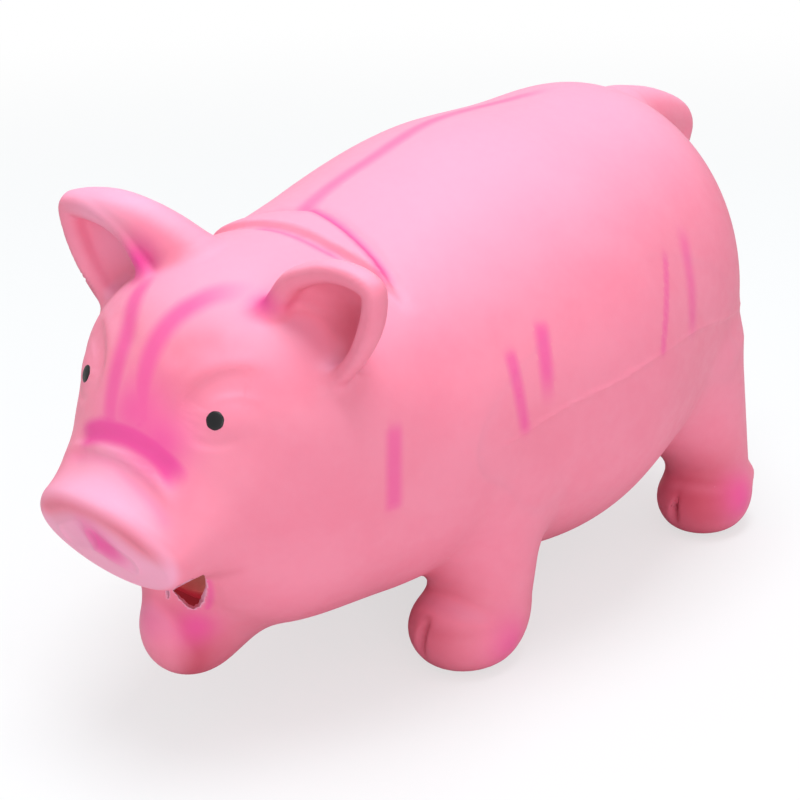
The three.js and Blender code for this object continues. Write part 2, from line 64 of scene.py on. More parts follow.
cameraFacts = {
    "azimuth": 41.96,       # degrees round from straight ahead
    "elevation": 22.49,     # degrees above the floor
    "roll": -1.07,
    "distance": 415.89,     # mm from the aim to the lens
    "aim": (0.0, -11.93, 52.58),
    "lens": 77.76,
    "sensor": 36.0,
    "clip": (0.01, 50),     # metres
}


def placeCamera(facts):
    a = math.radians(facts["azimuth"])
    e = math.radians(facts["elevation"])
    r = math.radians(facts["roll"])
    back = Vector((math.sin(a) * math.cos(e), -math.cos(a) * math.cos(e), math.sin(e)))
    side = Vector((math.cos(a), math.sin(a), 0.0))
    top = back.cross(side)
    right = side * math.cos(r) + top * math.sin(r)
    up = top * math.cos(r) - side * math.sin(r)
    place = (Vector(facts["aim"]) + back * facts["distance"]) * mm
    data = bpy.data.cameras.new("view")
    data.lens = facts["lens"]
    data.sensor_width = facts["sensor"]
    data.sensor_height = facts["sensor"]
    data.sensor_fit = "HORIZONTAL"
    data.clip_start, data.clip_end = facts["clip"]
    view = bpy.data.objects.new("view", data)
    scene.collection.objects.link(view)
    turn = Matrix((right, up, back)).transposed().to_4x4()
    view.matrix_world = Matrix.Translation(place) @ turn
    scene.camera = view


placeCamera(cameraFacts)
print("camera placed")


# Distances to simple forms, in mm: below zero inside

def softJoin(a, b, reach):
    share = np.clip(0.5 + 0.5 * (b - a) / reach, 0, 1)
    return b + (a - b) * share - reach * share * (1 - share)


def softCut(a, b, reach):
    return -softJoin(-a, -b, reach)


def fade(x, start, end):
    t = np.clip((x - start) / (end - start), 0, 1)
    return t * t * (3 - 2 * t)


def bump(gap, width):
    return np.exp(-(gap / width) ** 2)


def folded(p, both=True):       # places brought to the pig's left side
    return np.column_stack([np.abs(p[:, 0]), p[:, 1], p[:, 2]]) if both else p


def farFrom(p, place):
    return np.linalg.norm(p - np.array(place, float), axis=1)


def lineGap(p, start, end):     # how far from a line, and the share of its length
    line = end - start
    t = np.clip((p - start) @ line / (line @ line + 1e-12), 0, 1)
    return np.linalg.norm(p - start - t[:, None] * line, axis=1), t


def eggGap(p, middle, halves, tilt=0.0):
    q = p - np.array(middle, float)
    c = math.cos(math.radians(tilt))
    s = math.sin(math.radians(tilt))
    q = np.stack([q[:, 0], q[:, 1] * c - q[:, 2] * s, q[:, 1] * s + q[:, 2] * c], 1)
    r = np.array(halves, float)
    near = np.sqrt(((q / r) ** 2).sum(1))
    far = np.sqrt(((q / r ** 2) ** 2).sum(1)) + 1e-9
    return near * (near - 1) / far


def taperGap(p, start, end, startRadius, endRadius):
    a = np.array(start, float)
    line = np.array(end, float) - a
    length = np.linalg.norm(line)
    q = p - a
    t = np.clip(q @ (line / length) / length, 0, 1)
    return np.linalg.norm(q - t[:, None] * line, axis=1) - (startRadius + (endRadius - startRadius) * t)


def smoothRoute(points, steps=6):
    pts = np.array(points, float)
    if len(pts) < 3:
        return pts
    pts = np.vstack([2 * pts[0] - pts[1], pts, 2 * pts[-1] - pts[-2]])
    out = []
    for i in range(1, len(pts) - 2):
        a, b, c, d = pts[i - 1], pts[i], pts[i + 1], pts[i + 2]
        for k in range(steps):
            t = k / steps
            out.append(0.5 * (2 * b + (c - a) * t + (2 * a - 5 * b + 4 * c - d) * t * t
                              + (3 * b - a - 3 * c + d) * t ** 3))
    out.append(pts[-2])
    return np.array(out)


def chainGap(p, beads, soft=0.25):      # beads: place and radius
    chain = smoothRoute([(*place, radius) for place, radius in beads], 5)
    gap = taperGap(p, chain[0][:3], chain[1][:3], chain[0][3], chain[1][3])
    for a, b in zip(chain[1:-1], chain[2:]):
        gap = softJoin(gap, taperGap(p, a[:3], b[:3], a[3], b[3]), soft)
    return gap


def routeGap(p, route):
    best = np.full(len(p), 1e9)
    along = np.zeros(len(p))
    for i, (start, end) in enumerate(zip(route[:-1], route[1:])):
        gap, t = lineGap(p, start, end)
        closer = gap < best
        best[closer] = gap[closer]
        along[closer] = (i + t[closer]) / (len(route) - 1)
    return best, along


def smoothRoutes(rows):
    return [(smoothRoute(route, 3), *rest) for route, *rest in rows]


# The main forms of the toy

bodyForms = {   # middle y, middle z, half widths x, y, z, tilt
    "rump": (62.65, 69.25, 41.8, 29.33, 46.46, -3.0),
    "belly": (17.06, 62.14, 55.1, 55.18, 54.79, 0.4),
    "chest": (-28.04, 64.16, 44.35, 38.7, 38.28, -0.2),
    "neck": (-48.75, 57.11, 38.18, 30.68, 37.9, -0.5),
    "skull": (-62.95, 73.1, 39.44, 29.5, 28.45, 0.0),
    "cheek": (-67.15, 47.43, 33.41, 25.08, 27.38, 0.0),
    "muzzle": (-82.23, 59.87, 24.57, 16.72, 18.56, 0.0),
    "jaw": (-79.89, 23.82, 9.98, 14.65, 13.77, -1.3),
}
legForms = {    # hip, hip radius, ankle, ankle radius, toe reach, foot radius
    "front": ((32.42, -18.95, 45.42), 14.34, (31.35, -18.43, 14.0), 11.24, 6.44, 13.15),
    "hind": ((28.75, 63.07, 49.17), 18.62, (36.52, 74.09, 14.0), 9.53, 4.47, 12.12),
}
footForm = {"height": 8.5, "halfHeight": 10.5, "longer": 1.5}
tailForm = [    # place and radius, from the rump to the tip
    ((0, 77.2, 104.7), 9.3), ((0, 89.0, 103.2), 8.2), ((0, 100.4, 100.2), 6.6), ((0, 100.3, 96.7), 6.6)]
joinReach = {   # how softly each form flows into the one before it
    "belly": 28, "chest": 28, "neck": 24, "cheek": 16, "muzzle": 12, "head": 12,
    "lips": 4, "lipCorners": 5, "snout": 5, "snoutSides": 4, "snoutUnder": 3.2,
    "foot": 4, "sole": 2.5, "leg": 6, "tail": 5,
}
snoutForm = {
    "middle": (0, -103.6, 50.0),
    "halfWidth": 22.1,
    "halfHeight": 12.0,
    "faceTilt": 23.0,       # the face looks this far down
    "depth": 14.0,
    "rim": 3.2,
    "crown": 1.7,           # how far the middle of the face stands out
    "groove": 0.5,          # the hollow inside its rim
    "grooveBand": (0.74, 0.16),     # its place and width, as shares of the disc
}
faceTilt = math.radians(snoutForm["faceTilt"])
snoutNormal = np.array([0, -math.cos(faceTilt), -math.sin(faceTilt)])
snoutUp = np.array([0, -math.sin(faceTilt), math.cos(faceTilt)])


def snoutPlace(p):
    q = p - np.array(snoutForm["middle"])
    return q[:, 0], q @ snoutUp, q @ snoutNormal    # across, up the face, out of the face


def snoutGap(p):
    across, rise, out = snoutPlace(p)
    wide, high = snoutForm["halfWidth"], snoutForm["halfHeight"]
    k = np.sqrt((across / wide) ** 2 + (rise / high) ** 2)
    g = np.sqrt((across / wide ** 2) ** 2 + (rise / high ** 2) ** 2) + 1e-9
    radial = k * (k - 1) / g
    crown = snoutForm["crown"] * np.clip(1 - k * k, 0, 1)
    place, width = snoutForm["grooveBand"]
    crown = crown - snoutForm["groove"] * bump(k - place, width) * fade(rise, -4, 5)
    half = snoutForm["depth"] / 2
    rim = snoutForm["rim"]
    a = radial + rim
    b = np.abs(out - crown * (out > -half) + half) - half + rim
    return np.minimum(np.maximum(a, b), 0) + np.hypot(np.maximum(a, 0), np.maximum(b, 0)) - rim


def legGap(p, form):
    hip, hipRadius, ankle, ankleRadius, reach, foot = form
    m = folded(p)
    leg = taperGap(m, hip, ankle, hipRadius, ankleRadius)
    middle = (ankle[0], ankle[1] - reach, footForm["height"])
    pad = eggGap(m, middle, (foot, foot + footForm["longer"], footForm["halfHeight"]))
    return softCut(softJoin(leg, pad, joinReach["foot"]), -p[:, 2], joinReach["sole"])


def torsoGap(p):
    form = {name: eggGap(p, (0, f[0], f[1]), f[2:5], f[5]) for name, f in bodyForms.items()}
    reach = joinReach
    torso = form["rump"]
    for name in ("belly", "chest", "neck"):
        torso = softJoin(torso, form[name], reach[name])
    head = form["skull"]
    for name in ("cheek", "muzzle"):
        head = softJoin(head, form[name], reach[name])
    lips = reach["lips"] + reach["lipCorners"] * fade(p[:, 1] - 0.5 * np.abs(p[:, 0]), -98, -88)
    whole = softJoin(softJoin(torso, head, reach["head"]), form["jaw"], lips)
    front = p[:, 1] < -70
    under = fade(p[front, 2], 47, 38)
    sides = fade(np.abs(p[front, 0]), 10, 18)
    root = reach["snout"] + reach["snoutSides"] * sides * (1 - under) - reach["snoutUnder"] * under
    whole[front] = softJoin(whole[front], snoutGap(p[front]), root)
    low = p[:, 2] < 78
    for leg in legForms.values():
        whole[low] = softJoin(whole[low], legGap(p[low], leg), reach["leg"])
    return whole


# The ears: cupped sheets with a rolled rim

earForm = {
    "root": (25.54, -65.96, 91.6),      # where the ear hinges
    "out": (0.640, -0.020, 0.768),      # from the root to the tip
    "along": (0.768, 0.060, -0.638),    # along the root, outwards and down
    "back": (-0.033, 0.998, 0.054),
    "outline": [                        # along, out
        (-10.6, -3.0), (-11.1, 4.0), (-10.6, 10.5), (-6.6, 18.4), (-2.6, 22.7), (1.2, 25.2),
        (4.6, 26.3), (7.4, 25.9), (9.8, 23.4), (12.0, 19.0), (13.3, 13.7), (13.6, 7.8),
        (12.6, 1.3), (8.0, -4.0), (0.0, -6.0), (-7.0, -5.5)],
    "rimPlane": -5.0,                   # the rim's place along back
    "middle": (2.4, 9.6),
    "cupDepth": 7.2,
    "wall": 2.7,
    "topRim": 2.3,                      # radius of the rolled rim
    "sideRim": 1.8,
    "rimLift": 0.35,                    # how far the rim stands out of the cup, in its radius
    "joins": (0.8, 1.8, 0.9),           # the sheet's edge, its rim, the right ear's fold
    "rootBlend": 3.2,
    "near": (11, 32),                   # the ear lies within 32 mm of a place 11 mm out from its root
    "rightWidth": 0.88,                 # the right ear's outer half against the left ear's
    "fold": [                           # the thick upper edge of the right ear: place, radius
        ((-12.0, -64.0, 99.1), 6.6), ((-18.3, -66.0, 103.3), 6.0),
        ((-24.6, -67.6, 106.3), 5.3), ((-31.2, -68.6, 107.9), 4.6),
        ((-38.0, -69.4, 108.2), 3.7), ((-44.1, -69.6, 107.4), 3.0)],
}
earAxes = np.array([earForm["along"], earForm["out"], earForm["back"]])
earRoot, earOut, earMiddle = (np.array(earForm[key]) for key in ("root", "out", "middle"))
earLoop = smoothRoute(earForm["outline"] + earForm["outline"][:1], 4)


def loopGap(flat, loop):
    best = np.full(len(flat), 1e9)
    inside = np.zeros(len(flat), bool)
    for a, b in zip(loop[:-1], loop[1:]):
        best = np.minimum(best, lineGap(flat, a, b)[0])
        crosses = (a[1] > flat[:, 1]) != (b[1] > flat[:, 1])
        slope = (b[0] - a[0]) / (b[1] - a[1] if b[1] != a[1] else 1e-9)
        inside ^= crosses & (flat[:, 0] < (flat[:, 1] - a[1]) * slope + a[0])
    return np.where(inside, -best, best)


def earReach(flat):         # how far the outline is from the ear's middle, each way
    spokes = earLoop[:-1] - earMiddle
    q = flat - earMiddle
    return np.interp(np.arctan2(q[:, 1], q[:, 0]), np.arctan2(spokes[:, 1], spokes[:, 0]),
                     np.linalg.norm(spokes, axis=1), period=2 * math.pi)


def earCup(flat):           # the rim's radius, the place of the cup's floor along back, its slope
    top = fade(flat[:, 1] - 0.9 * flat[:, 0], -4, 10)
    radius = earForm["sideRim"] + (earForm["topRim"] - earForm["sideRim"]) * top
    reach = earReach(flat) - 0.8 * radius
    t = np.clip(farFrom(flat, earMiddle) / reach, 0, 1)
    floor = earForm["rimPlane"] + earForm["cupDepth"] * (1 - t * t)
    return radius, floor, 2 * earForm["cupDepth"] * t / reach


def earGap(p):
    out = np.full(len(p), 60.0)
    m = folded(p) - earRoot
    close = farFrom(m, earOut * earForm["near"][0]) < earForm["near"][1]
    if not close.any():
        return out
    q = m[close] @ earAxes.T
    slim = (p[close, 0] < 0) & (q[:, 0] > 0)
    q[slim, 0] /= earForm["rightWidth"]
    edge = loopGap(q[:, :2], earLoop)
    radius, floor, slope = earCup(q[:, :2])
    half = earForm["wall"] / 2
    edgeSoft, rimSoft, foldSoft = earForm["joins"]
    sheet = np.abs(q[:, 2] - floor - half) / np.sqrt(1 + slope ** 2) - half
    sheet = softCut(sheet, edge + radius * 0.4, edgeSoft)
    rim = np.hypot(edge + radius, q[:, 2] - earForm["rimPlane"] - radius * earForm["rimLift"]) - radius
    out[close] = softJoin(sheet, rim, rimSoft)
    right = close & (p[:, 0] < 0)
    if right.any():
        out[right] = softJoin(out[right], chainGap(p[right], earForm["fold"]), foldSoft)
    return out


# The modelled marks: how far each one raises the skin, in mm

neckFolds = {
    "front": ((0, -47.6), (13, -47.9), (30, -45.5)),            # |x|, y
    "back": ((0, -38.5), (14, -41.4), (21, -42.7), (31, -45.5)),
    "rollHeight": 0.95,
    "frontGroove": 0.5,
    "backGroove": 0.6,
}
eyeForm = {
    "ball": (22.2, -86.9, 79.0),
    "along": (0.62, 0.77, 0.1),     # from the inner corner to the outer one
    "halves": (5.6, 3.7),
    "bulge": 0.7,
    "reach": (26, 20),              # the marks fade out between these distances from the ball
}
browRoute = smoothRoute([
    (11.6, -93.4, 76.6), (12.6, -92.0, 78.8), (12.6, -90.6, 81.4), (13.2, -89.1, 83.4), (14.9, -87.4, 85.4),
    (17.5, -85.1, 87.0), (20.4, -83.1, 87.8), (23.6, -81.2, 87.9), (28.0, -78.8, 86.6)], 3)
browForm = {"crest": 0.16, "step": 0.42}
eyeRoutes = smoothRoutes([      # route on the left side, height, width
    ([(17.9, -88.3, 81.2), (20.0, -86.7, 82.3), (23.0, -84.7, 82.9), (26.1, -82.9, 82.3),
      (27.7, -82.2, 81.3)], 0.11, 0.9),
    ([(15.7, -92.6, 75.1), (18.5, -91.7, 74.0), (21.5, -89.9, 73.8), (23.5, -88.1, 74.5),
      (24.3, -86.9, 75.8)], -0.16, 1.0),
    ([(13.3, -94.0, 74.3), (17.1, -92.9, 73.1), (20.7, -91.0, 72.5), (24.3, -87.8, 73.4),
      (26.9, -84.8, 75.9)], 0.06, 1.1),
    ([(4.8, -89.1, 86.2), (8.2, -86.6, 89.1), (12.8, -83.9, 90.9), (17.0, -81.6, 91.4)], -0.3, 3.0),
])
rootRidges = smoothRoutes([     # the rings round the root of the snout: route, height, width
    ([(-19.0, -94.5, 60.5), (-17.0, -96.0, 63.8), (-14.3, -96.6, 66.6), (-11.6, -97.0, 68.6),
      (-6.9, -97.4, 70.7), (-2.5, -97.5, 71.7), (1.6, -97.5, 72.0), (5.1, -97.3, 71.6),
      (10.1, -96.8, 70.4), (14.6, -96.3, 67.2), (16.8, -96.4, 64.4), (19.0, -96.0, 60.5)], -0.22, 1.8),
    ([(-20.0, -95.5, 58.5), (-16.5, -96.4, 64.9), (-10.4, -97.8, 67.6), (-6.0, -98.4, 68.6),
      (0.5, -98.7, 69.0), (6.7, -98.6, 67.9), (11.4, -98.4, 65.9), (14.1, -98.2, 64.2),
      (16.3, -98.3, 62.3), (18.4, -98.8, 59.6)], 0.36, 1.2),
    ([(-19.5, -97.0, 58.5), (-18.0, -97.1, 62.0), (-11.2, -99.0, 65.1), (-6.9, -99.4, 66.4),
      (-2.3, -99.7, 67.0), (1.6, -99.9, 66.8), (8.5, -100.5, 64.4), (13.1, -100.7, 62.2),
      (16.1, -100.9, 60.1), (18.4, -101.6, 58.0)], -0.06, 1.5),
])
nostrilForm = {
    "inner": (2.2, 3.2),        # mm across the face and up it from its middle
    "outer": (9.4, -0.2),
    "width": 2.7,
    "depth": 0.4,
    "ridge": 0.2,
    "shift": -0.9,              # both sit a little to the pig's right
    "face": (-5, -2),           # they fade out of the disc's side between these depths
}
partingRoute = smoothRoute([
    (36.5, 86.0, 61.5), (42.2, 72.8, 63.4), (48.3, 55.0, 65.9), (52.3, 34.8, 69.2), (54.2, 15.8, 69.0),
    (53.9, 2.4, 67.2), (51.3, -14.7, 65.4), (48.6, -29.6, 62.0), (46.0, -40.0, 60.5), (41.5, -55.0, 59.2),
    (36.8, -72.7, 58.2), (32.9, -78.9, 56.6), (28.4, -85.5, 55.4), (24.0, -91.0, 55.2)], 4)
partingForm = {"ridge": 0.22, "width": 0.6, "step": 0.32}
clefts = smoothRoutes([     # toe clefts: route on the left foot, depth, width
    ([(28.5, -41.0, 1.0), (29.0, -39.6, 6.0), (29.6, -37.8, 11.5), (29.9, -35.6, 15.0)], 1.9, 1.25),
    ([(35.0, 55.0, 1.0), (35.4, 56.4, 6.0), (36.0, 58.2, 11.0), (36.3, 60.4, 14.5)], 1.8, 1.2),
])
heelBumps = [((39.5, -9.0, 5.5), 2.4, 1.1), ((43.6, 80.6, 13.6), 2.3, 1.1)]   # middle, width, height
rumpCrease = [(4.4, 51.6, 116.2), (8.5, 50.0, 115.6), (12.4, 51.8, 114.6)]
mouthCrease = [(17.5, -90.0, 40.5), (16.0, -88.0, 37.0), (14.4, -87.0, 33.5), (12.4, -86.6, 30.2)]
creases = {     # route, depth, width
    "rump": (smoothRoute(rumpCrease, 4), 0.55, 0.7),
    "mouth": (smoothRoute(mouthCrease, 4), 0.8, 1.0),
}


def neckMarks(p, side):
    front = np.interp(side, *zip(*neckFolds["front"]))
    back = np.interp(side, *zip(*neckFolds["back"]))
    top = fade(p[:, 2], 84, 92) * fade(side, 34, 27)
    y = p[:, 1]
    roll = fade(y, front - 0.4, front + 1.6) * fade(y, back + 0.5, back - 1.2)
    height = neckFolds["rollHeight"] * roll
    height = height - neckFolds["frontGroove"] * bump(y - front + 0.6, 1.4)
    height = height - neckFolds["backGroove"] * bump(y - back - 1.5, 1.7)
    return height * top


def eyeMarks(p):
    height = np.zeros(len(p))
    ball = np.array(eyeForm["ball"])
    m = folded(p)
    far = farFrom(m, ball)
    near = far < eyeForm["reach"][0]
    if not near.any():
        return height
    q = m[near]
    h = np.zeros(len(q))
    for route, high, wide in eyeRoutes:
        gap, along = routeGap(q, route)
        h += high * bump(gap, wide) * fade(along, -0.02, 0.3) * fade(along, 1.02, 0.7)
    gap, along = routeGap(q, browRoute)
    ends = fade(along, 0.0, 0.3) * fade(along, 1.0, 0.75)
    shares = np.linspace(0, 1, len(browRoute))
    nearest = np.column_stack([np.interp(along, shares, browRoute[:, k]) for k in range(3)])
    within = np.where(farFrom(nearest, ball) > farFrom(q, ball), gap, -gap)
    h += browForm["crest"] * bump(within + 1.4, 1.7) * ends
    h -= browForm["step"] * fade(within, -1.0, 2.0) * fade(within, 10.0, 2.2) * ends
    q = q - ball
    back = q @ np.array(eyeForm["along"])
    rise = q[:, 2] - 0.1 * back
    halfLength, halfHeight = eyeForm["halves"]
    h += eyeForm["bulge"] * np.exp(-((back / halfLength) ** 2 + (rise / halfHeight) ** 2) ** 1.3)
    height[near] = h * fade(far[near], *eyeForm["reach"])
    return height


def nostrilLine(hand):
    shift = (nostrilForm["shift"], 0)
    start, end = (np.array(nostrilForm[name]) * (hand, 1) + shift for name in ("inner", "outer"))
    return start, end - start


def nostrilMarks(p):
    across, rise, out = snoutPlace(p)
    height = np.zeros(len(p))
    face = fade(out, *nostrilForm["face"])
    for hand in (-1, 1):
        a, line = nostrilLine(hand)
        flat = np.column_stack([across, rise]) - a
        t = np.clip(flat @ line / (line @ line), 0, 1)
        gap = np.linalg.norm(flat - t[:, None] * line, axis=1)
        wide = nostrilForm["width"] * (1.0 - 0.2 * t)
        height -= nostrilForm["depth"] * np.exp(-(gap / wide) ** 3) * face
        height += nostrilForm["ridge"] * bump(gap - wide * 1.45, 0.75) * face
    return height


def markHeight(p):
    side = np.abs(p[:, 0])
    m = folded(p)
    height = neckMarks(p, side) + eyeMarks(p)
    front = (p[:, 1] < -80) & (p[:, 2] < 80)
    if front.any():
        f = np.zeros(front.sum())
        for route, high, wide in rootRidges:
            gap, along = routeGap(p[front], route)
            f += high * bump(gap, wide) * fade(along, 0.0, 0.15) * fade(along, 1.0, 0.8)
        f += nostrilMarks(p[front])
        route, deep, wide = creases["mouth"]
        f -= deep * bump(routeGap(m[front], route)[0], wide)
        height[front] += f
    low = p[:, 2] < 24
    if low.any():
        f = np.zeros(low.sum())
        for route, deep, wide in clefts:
            gap, along = routeGap(m[low], route)
            f -= deep * bump(gap, wide) * fade(along, 1.0, 0.55)
        for middle, wide, high in heelBumps:
            f += high * bump(farFrom(m[low], middle), wide)
        height[low] += f
    flank = (side > 18) & (p[:, 2] > 47) & (p[:, 2] < 82)
    if flank.any():
        gap, along = routeGap(m[flank], partingRoute)
        strength = fade(along, 0.0, 0.02) * (0.25 + 0.75 * fade(along, 0.62, 0.42))
        level = np.interp(p[flank, 1], partingRoute[::-1, 1], partingRoute[::-1, 2])
        above = fade(p[flank, 2] - level, -0.9, 0.9)
        hind = fade(p[flank, 1], 20, 60) * bump(gap, 9)
        height[flank] += partingForm["ridge"] * bump(gap, partingForm["width"]) * strength
        height[flank] += partingForm["step"] * (above - 0.5) * hind
    rump = (p[:, 2] > 112) & (p[:, 1] > 45)
    if rump.any():
        route, deep, wide = creases["rump"]
        height[rump] -= deep * bump(routeGap(p[rump], route)[0], wide)
    return height


def formGap(p):
    whole = torsoGap(p)
    hind = p[:, 1] > 60
    whole[hind] = softJoin(whole[hind], chainGap(p[hind], tailForm), joinReach["tail"])
    return softJoin(whole, earGap(p), earForm["rootBlend"])


def skinGap(p):
    return formGap(p) - markHeight(p)


def slopeOf(gapOf, p, step=0.15):
    k = np.array([(1, -1, -1), (-1, -1, 1), (-1, 1, -1), (1, 1, 1)], float)
    total = sum(np.outer(gapOf(p + step * corner), corner) for corner in k)
    return total / (4 * step)


def skinNormals(p):
    slope = slopeOf(skinGap, p)
    return slope / (np.linalg.norm(slope, axis=1)[:, None] + 1e-12)


# Turning the forms into a mesh

def reshape(mesh, change):      # lets a function work on a mesh with the bmesh operators
    bm = bmesh.new()
    bm.from_mesh(mesh)
    change(bm)
    bm.to_mesh(mesh)
    bm.free()


def newPiece(name, bm):
    mesh = bpy.data.meshes.new(name)
    bm.to_mesh(mesh)
    bm.free()
    piece = bpy.data.objects.new(name, mesh)
    scene.collection.objects.link(piece)
    return piece


def addEgg(bm, middle, halves, tilt=0.0, level=4):
    made = bmesh.ops.create_icosphere(bm, subdivisions=level, radius=1.0)["verts"]
    bmesh.ops.scale(bm, vec=halves, verts=made)
    bmesh.ops.rotate(bm, matrix=Matrix.Rotation(math.radians(-tilt), 3, "X"), verts=made)
    bmesh.ops.translate(bm, vec=middle, verts=made)
    return made


def addTaper(bm, start, end, startRadius, endRadius, beads=7):
    for k in range(beads):
        t = k / (beads - 1)
        middle = Vector(start).lerp(Vector(end), t)
        radius = startRadius + (endRadius - startRadius) * t
        addEgg(bm, middle, (radius, radius, radius), level=3)


def roughForms(shrink=0.0, ears=True):
    bm = bmesh.new()
    for y, z, rx, ry, rz, tilt in bodyForms.values():
        addEgg(bm, (0, y, z), (rx - shrink, ry - shrink, rz - shrink), tilt)
    wide, high = snoutForm["halfWidth"] - shrink, snoutForm["halfHeight"] - shrink
    disc = addEgg(bm, (0, 0, 0), (wide, 8 - shrink, high))
    bmesh.ops.rotate(bm, matrix=Matrix.Rotation(faceTilt, 3, "X"), verts=disc)
    bmesh.ops.translate(bm, vec=Vector(snoutForm["middle"]) - Vector(snoutNormal) * 7, verts=disc)
    for hip, hipRadius, ankle, ankleRadius, reach, foot in legForms.values():
        for hand in (-1, 1):
            top = (hip[0] * hand, hip[1], hip[2])
            low = (ankle[0] * hand, ankle[1], ankle[2])
            addTaper(bm, top, low, hipRadius - shrink, ankleRadius - shrink)
            addEgg(bm, (low[0], low[1] - reach, footForm["height"]),
                   (foot - shrink, foot + footForm["longer"] - shrink, footForm["halfHeight"] - 2 - shrink))
    if ears:
        for beads in (tailForm, earForm["fold"]):
            for (start, startRadius), (end, endRadius) in zip(beads[:-1], beads[1:]):
                addTaper(bm, start, end, startRadius, endRadius)
        for hand in (-1, 1):
            addEar(bm, hand)
    return bm


def addEar(bm, hand):       # a sheet in the ear's outline, hollowed and thickened, and its rolled rim
    ear = bmesh.new()
    bmesh.ops.create_circle(ear, cap_ends=True, cap_tris=True, segments=48, radius=1.0)
    bmesh.ops.subdivide_edges(ear, edges=ear.edges, cuts=7, use_grid_fill=True)
    flat = np.array([v.co[:2] for v in ear.verts])
    flat = earMiddle + flat * earReach(earMiddle + flat)[:, None] * 0.95
    floor = earCup(flat)[1]
    for v, (x, y), height in zip(ear.verts, flat, floor):
        v.co = (x, y, height)
    bmesh.ops.solidify(ear, geom=ear.faces, thickness=earForm["wall"])
    lift = np.mean(floor) + earForm["wall"] / 2 - sum(v.co.z for v in ear.verts) / len(ear.verts)
    bmesh.ops.translate(ear, vec=(0, 0, lift), verts=ear.verts)
    for place, radius in zip(earLoop[:-1], earCup(earLoop[:-1])[0]):
        spoke = place - earMiddle
        x, y = place - spoke * radius / np.linalg.norm(spoke)
        z = earForm["rimPlane"] + earForm["rimLift"] * radius
        addEgg(ear, (x, y, z), (radius, radius, radius), level=2)
    if hand < 0:
        outer = [v for v in ear.verts if v.co.x > 0]
        bmesh.ops.scale(ear, vec=(earForm["rightWidth"], 1, 1), verts=outer)
    turn = Matrix((earForm["along"], earForm["out"], earForm["back"])).transposed()
    bmesh.ops.rotate(ear, matrix=turn, verts=ear.verts)
    bmesh.ops.translate(ear, vec=earForm["root"], verts=ear.verts)
    if hand < 0:
        bmesh.ops.scale(ear, vec=(-1, 1, 1), verts=ear.verts)
    bmesh.ops.recalc_face_normals(ear, faces=ear.faces)
    shape = bpy.data.meshes.new("ear sheet")
    ear.to_mesh(shape)
    ear.free()
    bm.from_mesh(shape)
    bpy.data.meshes.remove(shape)


def bakeModifiers(piece):
    graph = bpy.context.evaluated_depsgraph_get()
    made = bpy.data.meshes.new_from_object(piece.evaluated_get(graph))
    old = piece.data
    piece.modifiers.clear()
    piece.data = made
    bpy.data.meshes.remove(old)


def remesh(piece, size):
    change = piece.modifiers.new("even skin", "REMESH")
    change.mode = "VOXEL"
    change.voxel_size = size
    bakeModifiers(piece)


def column(rows, name, kind=np.int64, wide=1):
    flat = np.empty(len(rows) * wide, kind)
    rows.foreach_get(name, flat)
    return flat.reshape(-1, wide) if wide > 1 else flat


def places(mesh):
    return column(mesh.vertices, "co", float, 3)


def drape(piece, gapOf, steps, reach=1.0, offset=0.0):
    p = places(piece.data)
    moving = np.arange(len(p))
    for _ in range(steps):
        q = p[moving]
        gap = gapOf(q) - offset
        slope = slopeOf(gapOf, q)
        size = np.maximum(np.linalg.norm(slope, axis=1), 0.2)
        p[moving] = q - slope * (np.clip(gap / size, -reach, reach) / size)[:, None]
        moving = moving[np.abs(gap) > 0.01]
        if not len(moving):
            break
    piece.data.vertices.foreach_set("co", p.ravel())
    piece.data.update()


def relax(piece, times, factor=0.5):
    def smooth(bm):
        for _ in range(times):
            bmesh.ops.smooth_vert(bm, verts=bm.verts, factor=factor, use_axis_x=True, use_axis_y=True,
                                  use_axis_z=True)
    reshape(piece.data, smooth)


def refine(piece, wanted):
    picked = wanted(places(piece.data))

    def divide(bm):
        edges = [e for e in bm.edges if picked[e.verts[0].index] and picked[e.verts[1].index]]
        bmesh.ops.subdivide_edges(bm, edges=edges, cuts=1, use_grid_fill=True)
    reshape(piece.data, divide)


detail = {
    "roughSize": 1.7,
    "skinSize": 1.3,
    "wallSize": 2.6,
    "wall": 2.0,
    "reach": 0.8,           # the furthest that a point moves in one step
    "rounds": 5,
}
fineSpots = {       # where the skin is made finer
    "eye": ((21, -86, 80), 16),
    "mouth": ((8, -91, 36), 13),
    "face": (-97, 66),          # in front of, below
    "neck": (-53, -34, 84),     # between, above
    "ear": (12, 24, -6),        # a place out from the root, how far round it, and where the skull begins
    "toes": 4,                  # each side of a cleft
    "parting": (1.6, -60),      # each side of the line, and behind the cheek
}


def wantsDetail(p):
    spots = fineSpots
    m = folded(p)
    y, z = p[:, 1], p[:, 2]
    picked = (y < spots["face"][0]) & (z < spots["face"][1])
    picked |= (y > spots["neck"][0]) & (y < spots["neck"][1]) & (z > spots["neck"][2])
    for name in ("eye", "mouth"):
        middle, reach = spots[name]
        picked |= farFrom(m, middle) < reach
    for route, _, _ in clefts:
        picked |= routeGap(m, route)[0] < spots["toes"]
    picked |= (routeGap(m, partingRoute)[0] < spots["parting"][0]) & (y > spots["parting"][1])
    out, reach, root = spots["ear"]
    return picked | (farFrom(m - earRoot, earOut * out) < reach) & ((m - earRoot) @ earOut > root)


